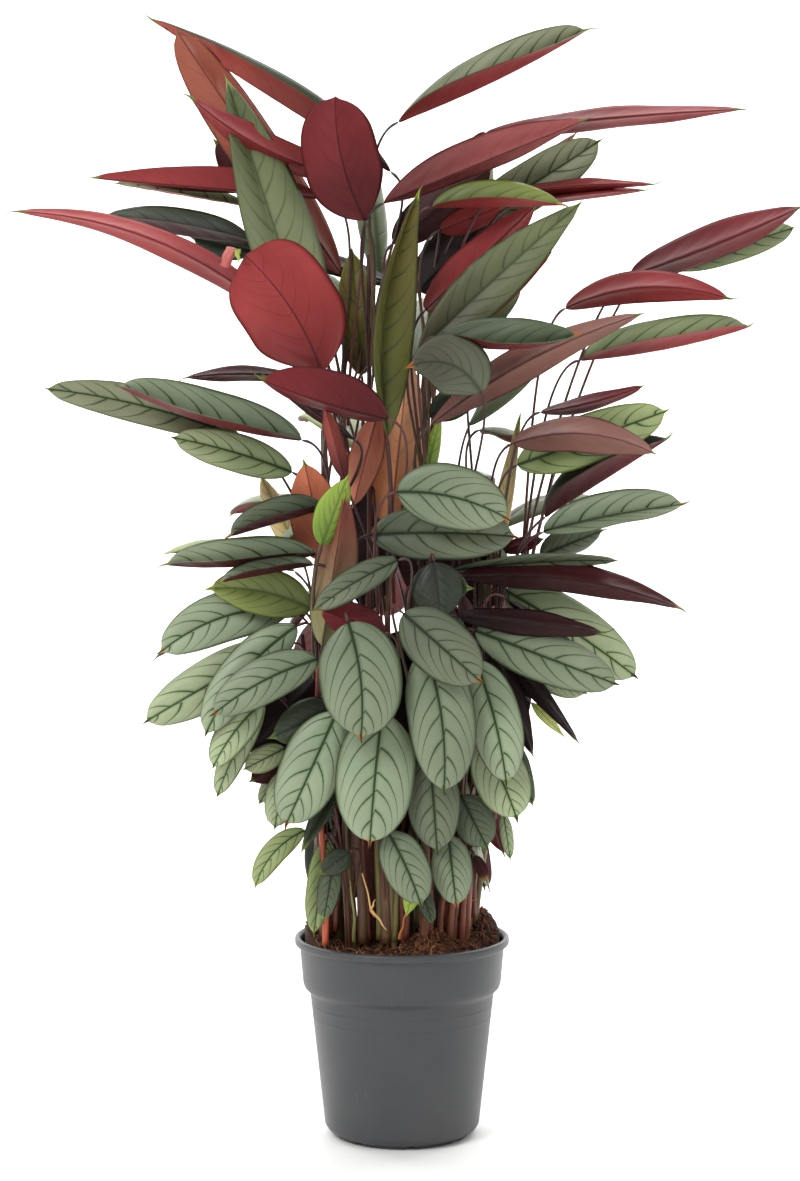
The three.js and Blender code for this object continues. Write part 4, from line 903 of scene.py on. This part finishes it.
def leafMaterial(settings):
    # the blade's tone, brightened by its blotches and fine lines and darkened by its veins, halos and rim
    material, tree, shader = newMaterial(settings["name"])
    reads, band = bladeInputs(tree), {}
    for name, (source, kind, low, high, atLow, atHigh) in settings["bands"].items():
        band[name] = addNode(tree, "ShaderNodeMapRange", {
            "interpolation_type": kind, "From Min": low, "From Max": high, "To Min": atLow, "To Max": atHigh,
        }, {"Value": reads[source]}).outputs[0]
    vein = addNode(tree, "ShaderNodeMath", {"operation": "MULTIPLY"}, {0: band["vein"], 1: band["fade"]})
    lines = addNode(tree, "ShaderNodeMath", {"operation": "MAXIMUM"}, {0: vein.outputs[0], 1: band["rib"]}).outputs[0]
    layers = [(band["blotches"], None), (band["ruled"], None),
              (lines, settings["lineTint"]), (band["rim"], settings["rimTint"])]
    if "halo" in band:  # a darker halo beside each line, and both as strong as the leaf's look says
        halo = addNode(tree, "ShaderNodeMath", {"operation": "MULTIPLY"}, {0: band["halo"], 1: band["fade"]})
        halos = addNode(tree, "ShaderNodeMath", {"operation": "MAXIMUM"}, {0: halo.outputs[0], 1: band["ribHalo"]})
        strongHalos, strongLines = (
            addNode(tree, "ShaderNodeMath", {"operation": "MULTIPLY"}, {0: share, 1: reads["strength"]}).outputs[0]
            for share in (halos.outputs[0], lines))
        layers[2] = (strongLines, settings["lineTint"])
        layers.insert(1, (strongHalos, settings["haloTint"]))
    colour = reads["tone"]
    for share, tint in layers:
        if tint is None:
            colour = addNode(tree, "ShaderNodeVectorMath", {"operation": "SCALE"},
                             {0: colour, "Scale": share}).outputs[0]
        else:
            colour = addNode(tree, "ShaderNodeMix", {"data_type": "RGBA", "blend_type": "MULTIPLY", 7: (*tint, 1)},
                             {0: share, 6: colour}).outputs[2]
    tree.links.new(colour, shader.inputs["Base Color"])
    height = addNode(tree, "ShaderNodeMath", {"operation": "MULTIPLY_ADD", 1: settings["lineRise"]}, {
        0: lines, 2: band["ruled"]})
    bump = addNode(tree, "ShaderNodeBump", {"Strength": settings["bump"], "Distance": 0.0006}, {
        "Height": height.outputs[0]})
    tree.links.new(bump.outputs[0], shader.inputs["Normal"])
    shader.inputs["Roughness"].default_value = settings["roughness"]
    shader.inputs["Specular IOR Level"].default_value = settings["specular"]
    return material


def stemMaterial():
    # living stem: a ribbed skin from brown at the foot to dark wine in the stalks; the real stem's fine hairs are not
    # drawn
    material, tree, shader = newMaterial("stemRibbedSkin")
    tone = addNode(tree, "ShaderNodeAttribute", {"attribute_name": "tone"})
    skin = addNode(tree, "ShaderNodeAttribute", {"attribute_name": "skin"})
    # eighteen ribs round the stem, about 1 mm wide at its foot and 17 mm long
    stretch = addNode(tree, "ShaderNodeMapping", {"Scale": (9.0, 0.03, 1.0)}, {"Vector": skin.outputs["Vector"]})
    ribs = addNode(tree, "ShaderNodeTexNoise", {"Scale": 2.0, "Detail": 3.0}, {"Vector": stretch.outputs[0]})
    bright = addNode(tree, "ShaderNodeMapRange", {"From Min": 0.3, "From Max": 0.7, "To Min": 0.7, "To Max": 1.3},
                     {"Value": ribs.outputs["Fac"]})
    toned = addNode(tree, "ShaderNodeVectorMath", {"operation": "SCALE"}, {
        0: tone.outputs["Color"], "Scale": bright.outputs[0]})
    tree.links.new(toned.outputs[0], shader.inputs["Base Color"])
    bump = addNode(tree, "ShaderNodeBump", {"Strength": 0.3, "Distance": 0.0004}, {"Height": ribs.outputs["Fac"]})
    tree.links.new(bump.outputs[0], shader.inputs["Normal"])
    shader.inputs["Roughness"].default_value = 0.5
    return material


# the leaf and stem materials, then for each shoot its leaves and its stems in place of its solid
leafUpper, leafUnder, stemSkin = leafMaterial(leafSkins["upper"]), leafMaterial(leafSkins["under"]), stemMaterial()
for name, shoot in {**frontShoots, **backShoots}.items():
    place = name.removeprefix("shoot_")
    shoot = (*shoot[:2], shoot[2] + moreLeaves.get(name, []), place)
    leaves = [(frontLeaf if len(row) > 10 else backLeaf)(row) for row in shoot[2]]
    points, triangles, faceMaterial, attributes = joinParts([bladeParts(leaf, bladeSettings) for leaf in leaves])
    piece = makeMesh("leaves_" + place, points, triangles, [leafUpper, leafUnder], faceMaterial, attributes)
    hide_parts(name)
    points, triangles, _, attributes = joinParts(shootStems(shoot, leaves, stemSettings))
    stems = makeMesh("stems_" + place, points, triangles, [stemSkin], None, attributes)
    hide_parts(name)
    print(name, len(piece.data.polygons), len(stems.data.polygons))

print("pot")
potSettings = {
    "turns": 160,
    "height": 199, "beadRadius": 106.5, "beadDepth": 9,
    "collarTop": 101.5, "collarFoot": 98.5, "collarFootHeight": 153,
    "bodyTop": 91.5, "bodyTopHeight": 143, "bodyFoot": 77,
    "footRadius": 67, "footWidth": 4, "footHeight": 4, "footRise": 7, "padRadius": 24,
    "wall": 2.2, "floor": 6.8,
    "rings": (131, 119), "ringDepth": 0.35, "ringWidth": 3.0,
    "drains": 4, "drainRadius": 6, "drainCircle": 49,
    "notches": 8, "notchWidth": 7, "notchHeight": 2.6,
    "colour": "#3A3B3E", "dust": "#5A5858", "scratch": "#8A8884", "speck": "#2B2623",
}


def rounded(corners, softness, steps=5):
    # a profile whose corners are cut by short quadratic curves, each this long at most
    corners = np.array(corners, dtype=float)
    points = [corners[:1]]
    for before, corner, after in zip(corners[:-2], corners[1:-1], corners[2:]):
        a, b = before - corner, after - corner
        cut = min(softness, 0.45 * np.linalg.norm(a), 0.45 * np.linalg.norm(b))
        start, end = corner + unit(a) * cut, corner + unit(b) * cut
        t = np.linspace(0, 1, steps)[:, None]
        points.append((1 - t) ** 2 * start + 2 * t * (1 - t) * corner + t ** 2 * end)
    return np.concatenate(points + [corners[-1:]])


def latheGrid(profile, turns):
    # a profile of radius and height carried round the axis: across is the radius times the cosine and sine
    angle = np.linspace(0, 2 * np.pi, turns, endpoint=False)
    radius, height = profile[:, :1], profile[:, 1:]
    points = np.stack([radius * np.cos(angle), radius * np.sin(angle), height + 0 * angle], axis=-1)
    index = np.arange(len(profile) * turns).reshape(len(profile), turns)
    for end in (0, -1):
        if profile[end, 0] == 0:
            index[end] = index[end, 0]
    index = np.concatenate([index, index[:, :1]], axis=1)
    return points, angle, gridTriangles(index)[:, ::-1]


def makePot(settings):
    # one closed profile from the middle pad, out over the foot ring, up the wall, round the bead and back inside
    s = settings
    body = lambda z: blend(s["bodyFoot"], s["bodyTop"], (z - s["footHeight"] - s["footRise"]) / (
        s["bodyTopHeight"] - s["footHeight"] - s["footRise"]))
    corners = [(0, 0), (s["padRadius"], 0), (s["padRadius"] + s["footWidth"], s["footHeight"]),
               (s["footRadius"] - s["footWidth"] - 2, s["footHeight"]), (s["footRadius"] - s["footWidth"], 0),
               (s["footRadius"], 0), (s["footRadius"] + 1, s["footHeight"]),
               (s["bodyFoot"] - 4, s["footHeight"] + 1), (s["bodyFoot"], s["footHeight"] + s["footRise"])]
    for z in sorted(s["rings"]):
        half = s["ringWidth"] / 2
        corners += [(body(z - half), z - half), (body(z) + s["ringDepth"], z), (body(z + half), z + half)]
    corners += [(s["bodyTop"], s["bodyTopHeight"]), (s["collarFoot"] - 1.5, s["collarFootHeight"] - 5),
                (s["collarFoot"], s["collarFootHeight"]),
                (s["collarTop"] - 0.4, s["height"] - s["beadDepth"] - 7),
                (s["collarTop"], s["height"] - s["beadDepth"]), (s["beadRadius"], s["height"] - s["beadDepth"] + 0.8),
                (s["beadRadius"], s["height"] - 1.5), (s["beadRadius"] - 3, s["height"]),
                (s["collarTop"] - 0.5, s["height"] - 1.5),
                (s["collarTop"] - s["wall"], s["height"] - 5), (s["collarFoot"] - s["wall"], s["collarFootHeight"]),
                (s["bodyTop"] - s["wall"], s["bodyTopHeight"]), (s["bodyFoot"] - s["wall"], s["floor"] + 5),
                (s["bodyFoot"] - 8, s["floor"]), (0, s["floor"])]
    profile = rounded(corners, 2.2)
    points, angle, triangles = latheGrid(profile, s["turns"])
    # the foot ring is cut by shallow notches: its low points rise where the angle is near a notch
    spacing = 2 * np.pi / s["notches"]
    off = np.abs((angle + spacing / 3) % spacing - spacing / 2) * s["footRadius"]
    notch = s["notchHeight"] * ease(s["notchWidth"] / 2 + 1.5, s["notchWidth"] / 2 - 0.5, off)
    onFoot = (profile[:, 0] > s["footRadius"] - s["footWidth"] - 3) & (profile[:, 0] < s["footRadius"] + 2)
    lift = np.where((onFoot & (profile[:, 1] < s["footHeight"]))[:, None], notch[None, :], 0)
    points[..., 2] = np.maximum(points[..., 2], np.minimum(lift, s["footHeight"]))
    pot = makeMesh("nurseryPot", points.reshape(-1, 3), triangles, [potMaterial(s)])

    # drain holes: cylinders cut through the floor
    cutters = []
    for k in range(s["drains"]):
        turn = 2 * np.pi * (k + 0.5) / s["drains"]
        outline = np.array([(0, -5), (s["drainRadius"], -5), (s["drainRadius"], 20), (0, 20)], float)
        ring, _, sides = latheGrid(outline, 24)
        ring = ring.reshape(-1, 3) + [s["drainCircle"] * np.cos(turn), s["drainCircle"] * np.sin(turn), 0]
        cutters.append((ring, sides, 0, {}))
    cutter = makeMesh("drainCutter", *joinParts(cutters)[:2], [])
    holes = pot.modifiers.new("drains", "BOOLEAN")
    holes.object = cutter
    cut = bpy.data.meshes.new_from_object(pot.evaluated_get(bpy.context.evaluated_depsgraph_get()))
    pot.modifiers.clear()
    pot.data = cut
    bpy.data.objects.remove(cutter)
    cut.set_sharp_from_angle(angle=np.radians(40))
    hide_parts("pot")


def potMaterial(settings):
    # injection-moulded polypropylene: dark grey, satin, with dust, dark specks and fine upright scratches
    material, tree, shader = newMaterial("potMouldedPolypropylene")
    where = addNode(tree, "ShaderNodeTexCoord").outputs["Object"]
    # clouds of dust about 110 mm wide; scratches 4 mm apart and 110 mm long, coarser than real ones so they
    # show; a speck of half a millimetre every 10 mm; a moulded grain of 1 mm
    dust = addNode(tree, "ShaderNodeTexNoise", {"Scale": 9.0, "Detail": 5.0, "Roughness": 0.62}, {"Vector": where})
    dustShare = addNode(tree, "ShaderNodeMapRange", {"From Min": 0.45, "From Max": 0.8, "To Min": 0.0, "To Max": 0.32},
                        {"Value": dust.outputs["Fac"]})
    tall = addNode(tree, "ShaderNodeMapping", {"Scale": (260.0, 260.0, 9.0)}, {"Vector": where})
    scratch = addNode(tree, "ShaderNodeTexNoise", {"Scale": 1.0, "Detail": 1.0}, {"Vector": tall.outputs[0]})
    scratchShare = addNode(tree, "ShaderNodeMapRange", {
        "From Min": 0.74, "From Max": 0.82, "To Min": 0.0, "To Max": 0.12}, {"Value": scratch.outputs["Fac"]})
    specks = addNode(tree, "ShaderNodeTexVoronoi", {"Scale": 95.0}, {"Vector": where})
    speck = addNode(tree, "ShaderNodeMapRange", {"From Min": 0.035, "From Max": 0.06, "To Min": 0.7, "To Max": 0.0},
                    {"Value": specks.outputs["Distance"]})
    base = addNode(tree, "ShaderNodeMix", {"data_type": "RGBA", 6: (*linear(settings["colour"]), 1),
                                           7: (*linear(settings["dust"]), 1)}, {0: dustShare.outputs[0]})
    scratched = addNode(tree, "ShaderNodeMix", {"data_type": "RGBA", 7: (*linear(settings["scratch"]), 1)},
                        {0: scratchShare.outputs[0], 6: base.outputs[2]})
    specked = addNode(tree, "ShaderNodeMix", {"data_type": "RGBA", 7: (*linear(settings["speck"]), 1)},
                      {0: speck.outputs[0], 6: scratched.outputs[2]})
    tree.links.new(specked.outputs[2], shader.inputs["Base Color"])
    grain = addNode(tree, "ShaderNodeTexNoise", {"Scale": 900.0, "Detail": 2.0}, {"Vector": where})
    bump = addNode(tree, "ShaderNodeBump", {"Strength": 0.12, "Distance": 0.0003}, {"Height": grain.outputs["Fac"]})
    tree.links.new(bump.outputs[0], shader.inputs["Normal"])
    rough = addNode(tree, "ShaderNodeMapRange", {"From Min": 0.3, "From Max": 0.7, "To Min": 0.36, "To Max": 0.5},
                    {"Value": dust.outputs["Fac"]})
    tree.links.new(rough.outputs[0], shader.inputs["Roughness"])
    shader.inputs["IOR"].default_value = 1.49
    return material


makePot(potSettings)

print("soil")
soilSettings = {
    "height": 187, "gap": 0.3,
    "rings": 44, "turns": 150,
    "heaps": [  # height, across and depth of the middle, spread across and in depth (mm squared)
        (24, -88, -8, 420, 1500), (19, 82, 30, 900, 2400), (17, 27, -34, 500, 420),
    ],
    "backRise": 9,
    "crumbs": 1500, "crumbSize": (1.2, 4.2),
    "fibres": 760, "fibreLength": (9, 34), "fibreRadius": 0.36,
    "pileFibres": 260, "pileAcross": (27, 13), "pileDepth": (-36, 10),  # the middle of the pile and its spread
    "colours": ["#3A2114", "#52301D", "#683E24", "#2A170E", "#7A4C2C"],
    "fibreColours": ["#6B4228", "#8A5E3A", "#4E2C18", "#A8784E", "#3A2012", "#7A4A30"],
}


def soilTop(x, y):
    # level soil with a heap at the left, a bank at the right, a pile in front, and waves a few centimetres long:
    # each heap is its height times e to the minus of its squared distances over its spreads
    level = soilSettings["height"] + 2
    for height, across, depth, spreadAcross, spreadDepth in soilSettings["heaps"]:
        level = level + height * np.exp(-((x - across) ** 2 / spreadAcross + (y - depth) ** 2 / spreadDepth))
    return level + soilSettings["backRise"] * ease(0, 70, y) + 1.6 * np.sin(x / 13) * np.cos(y / 11)


lumpWaves = random.normal(0, 1, (30, 2)) / random.uniform(2.5, 9, (30, 1))
lumpPhases = random.uniform(0, 6.28, 30)


def lumps(x, y):
    # a sum of short waves in all directions
    return np.sin(x[..., None] * lumpWaves[:, 0] + y[..., None] * lumpWaves[:, 1] + lumpPhases).sum(axis=-1) * 0.28


def soilMaterial():
    # damp coir and peat: rough, dark brown, with lighter fibres
    material, tree, shader = newMaterial("soilDampCoir")
    tone = addNode(tree, "ShaderNodeAttribute", {"attribute_name": "tone"})
    where = addNode(tree, "ShaderNodeTexCoord").outputs["Object"]
    # crumbs about 2.4 mm wide
    crumb = addNode(tree, "ShaderNodeTexNoise", {"Scale": 420.0, "Detail": 6.0, "Roughness": 0.7}, {"Vector": where})
    bright = addNode(tree, "ShaderNodeMapRange", {"From Min": 0.3, "From Max": 0.7, "To Min": 0.45, "To Max": 1.6},
                     {"Value": crumb.outputs["Fac"]})
    toned = addNode(tree, "ShaderNodeVectorMath", {"operation": "SCALE"}, {
        0: tone.outputs["Color"], "Scale": bright.outputs[0]})
    tree.links.new(toned.outputs[0], shader.inputs["Base Color"])
    bump = addNode(tree, "ShaderNodeBump", {"Strength": 0.9, "Distance": 0.0015}, {"Height": crumb.outputs["Fac"]})
    tree.links.new(bump.outputs[0], shader.inputs["Normal"])
    shader.inputs["Roughness"].default_value = 0.9
    return material


def makeSoil(settings):
    s, pot = settings, potSettings
    gap = s["gap"]
    rim = pot["collarTop"] - pot["wall"] - 2.4
    top = np.linspace(0, rim, s["rings"])[::-1]
    profile = np.concatenate([
        [(0, pot["floor"] + gap), (pot["bodyFoot"] - 9, pot["floor"] + gap),
         (pot["bodyFoot"] - pot["wall"] - 1, pot["floor"] + 6),
         (pot["bodyTop"] - pot["wall"] - 1, pot["bodyTopHeight"]),
         (pot["collarFoot"] - pot["wall"] - 1, pot["collarFootHeight"])],
        np.stack([top, np.full_like(top, s["height"])], axis=1)])
    points, angle, triangles = latheGrid(profile, s["turns"])
    onTop = points[5:]
    onTop[..., 2] = soilTop(onTop[..., 0], onTop[..., 1]) + lumps(onTop[..., 0], onTop[..., 1])
    points[-1] = points[-1, 0]
    flat = points.reshape(-1, 3)
    tones = np.broadcast_to(linear(s["colours"][0]), flat.shape) * random.uniform(0.7, 1.4, (len(flat), 1))
    parts = [(flat, triangles, 0, {"tone": tones})]

    # crumbs: eight-sided lumps, each turned, squashed and set half into the soil
    corners = np.array([(1, 0, 0), (-1, 0, 0), (0, 1, 0), (0, -1, 0), (0, 0, 1), (0, 0, -1)], float)
    faces = np.array([(0, 2, 4), (2, 1, 4), (1, 3, 4), (3, 0, 4), (2, 0, 5), (1, 2, 5), (3, 1, 5), (0, 3, 5)])
    count = s["crumbs"]
    radius = (rim - 3) * np.sqrt(random.uniform(0, 1, count))
    turn = random.uniform(0, 2 * np.pi, count)
    x, y = radius * np.cos(turn), radius * np.sin(turn)
    size = random.uniform(*s["crumbSize"], (count, 1, 1)) * random.uniform(0.5, 1.2, (count, 1, 3))
    shape = corners[None] * size * random.uniform(0.75, 1.25, (count, 6, 1))
    spin = random.uniform(0, 2 * np.pi, (count, 1))
    turned = np.stack([shape[..., 0] * np.cos(spin) - shape[..., 1] * np.sin(spin),
                       shape[..., 0] * np.sin(spin) + shape[..., 1] * np.cos(spin), shape[..., 2]], axis=-1)
    tilt = random.uniform(-0.8, 0.8, (count, 1))
    turned = np.stack([turned[..., 0] * np.cos(tilt) + turned[..., 2] * np.sin(tilt), turned[..., 1],
                       turned[..., 2] * np.cos(tilt) - turned[..., 0] * np.sin(tilt)], axis=-1)
    ground = soilTop(x, y) + lumps(x, y)
    placed = turned + np.stack([x, y, ground + 0.5], axis=-1)[:, None]
    crumbFaces = faces[None] + 6 * np.arange(count)[:, None, None]
    palette = np.array([linear(c) for c in s["colours"]])
    tones = np.repeat(palette[random.integers(len(palette), size=count)], 6, axis=0)
    parts.append((placed.reshape(-1, 3), crumbFaces.reshape(-1, 3), 0, {"tone": tones}))

    # fibres: thin three-sided tubes that lie on the soil in loose bends, all worked out together
    count, steps = s["fibres"], 7
    radius = (rim - 14) * np.sqrt(random.uniform(0, 1, count))
    turn = random.uniform(0, 2 * np.pi, count)
    piled = np.arange(count) < s["pileFibres"]
    pileX, pileY = random.normal(*s["pileAcross"], count), random.normal(*s["pileDepth"], count)
    radius = np.where(piled, np.hypot(pileX, pileY), radius)
    turn = np.where(piled, np.arctan2(pileY, pileX), turn)
    heading = random.uniform(0, 2 * np.pi, count)[:, None] + np.cumsum(random.normal(0, 0.35, (count, steps)), axis=1)
    length = random.uniform(*s["fibreLength"], (count, 1)) / steps
    x = (radius * np.cos(turn))[:, None] + np.cumsum(length * np.cos(heading), axis=1)
    y = (radius * np.sin(turn))[:, None] + np.cumsum(length * np.sin(heading), axis=1)
    inside = np.minimum(1, (rim - 2) / np.hypot(x, y))
    x, y = x * inside, y * inside
    arch = random.uniform(0.5, 7, (count, 1)) * np.sin(np.linspace(0.15, 3.0, steps))[None]
    z = soilTop(x, y) + lumps(x, y) + 0.8 + arch
    path = np.stack([x, y, z], axis=-1)
    sideways = np.stack([-np.sin(heading), np.cos(heading), 0 * heading], axis=-1)
    upwards = np.array([0, 0, 1.0])
    taper = np.array([0.4, 1, 1, 1, 1, 0.9, 0.2])[None, :, None]
    thick = s["fibreRadius"] * random.uniform(0.6, 1.6, (count, 1, 1)) * taper
    ring = [path + thick * (np.cos(a) * sideways + np.sin(a) * upwards) for a in (0.5, 2.6, 4.7)]
    tube = np.stack(ring, axis=2)
    index = np.arange(count * steps * 3).reshape(count, steps, 3)
    index = np.concatenate([index, index[..., :1]], axis=2)
    a, b, c, d = index[:, :-1, :-1], index[:, 1:, :-1], index[:, 1:, 1:], index[:, :-1, 1:]
    sides = np.stack([a, c, b, a, d, c], axis=-1).reshape(-1, 3)
    ends = np.concatenate([index[:, 0, :3], index[:, -1, [0, 2, 1]]])
    palette = np.array([linear(c) for c in s["fibreColours"]])
    chosen = palette[random.integers(len(palette), size=count)] * np.where(piled, 1.25, 1.0)[:, None]
    tones = np.repeat(chosen, steps * 3, axis=0)
    parts.append((tube.reshape(-1, 3), np.concatenate([sides, ends]), 0, {"tone": tones}))

    points, triangles, _, attributes = joinParts(parts)
    soil = makeMesh("soilWithFibres", points, triangles, [soilMaterial()], None, attributes)
    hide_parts("soil")


makeSoil(soilSettings)
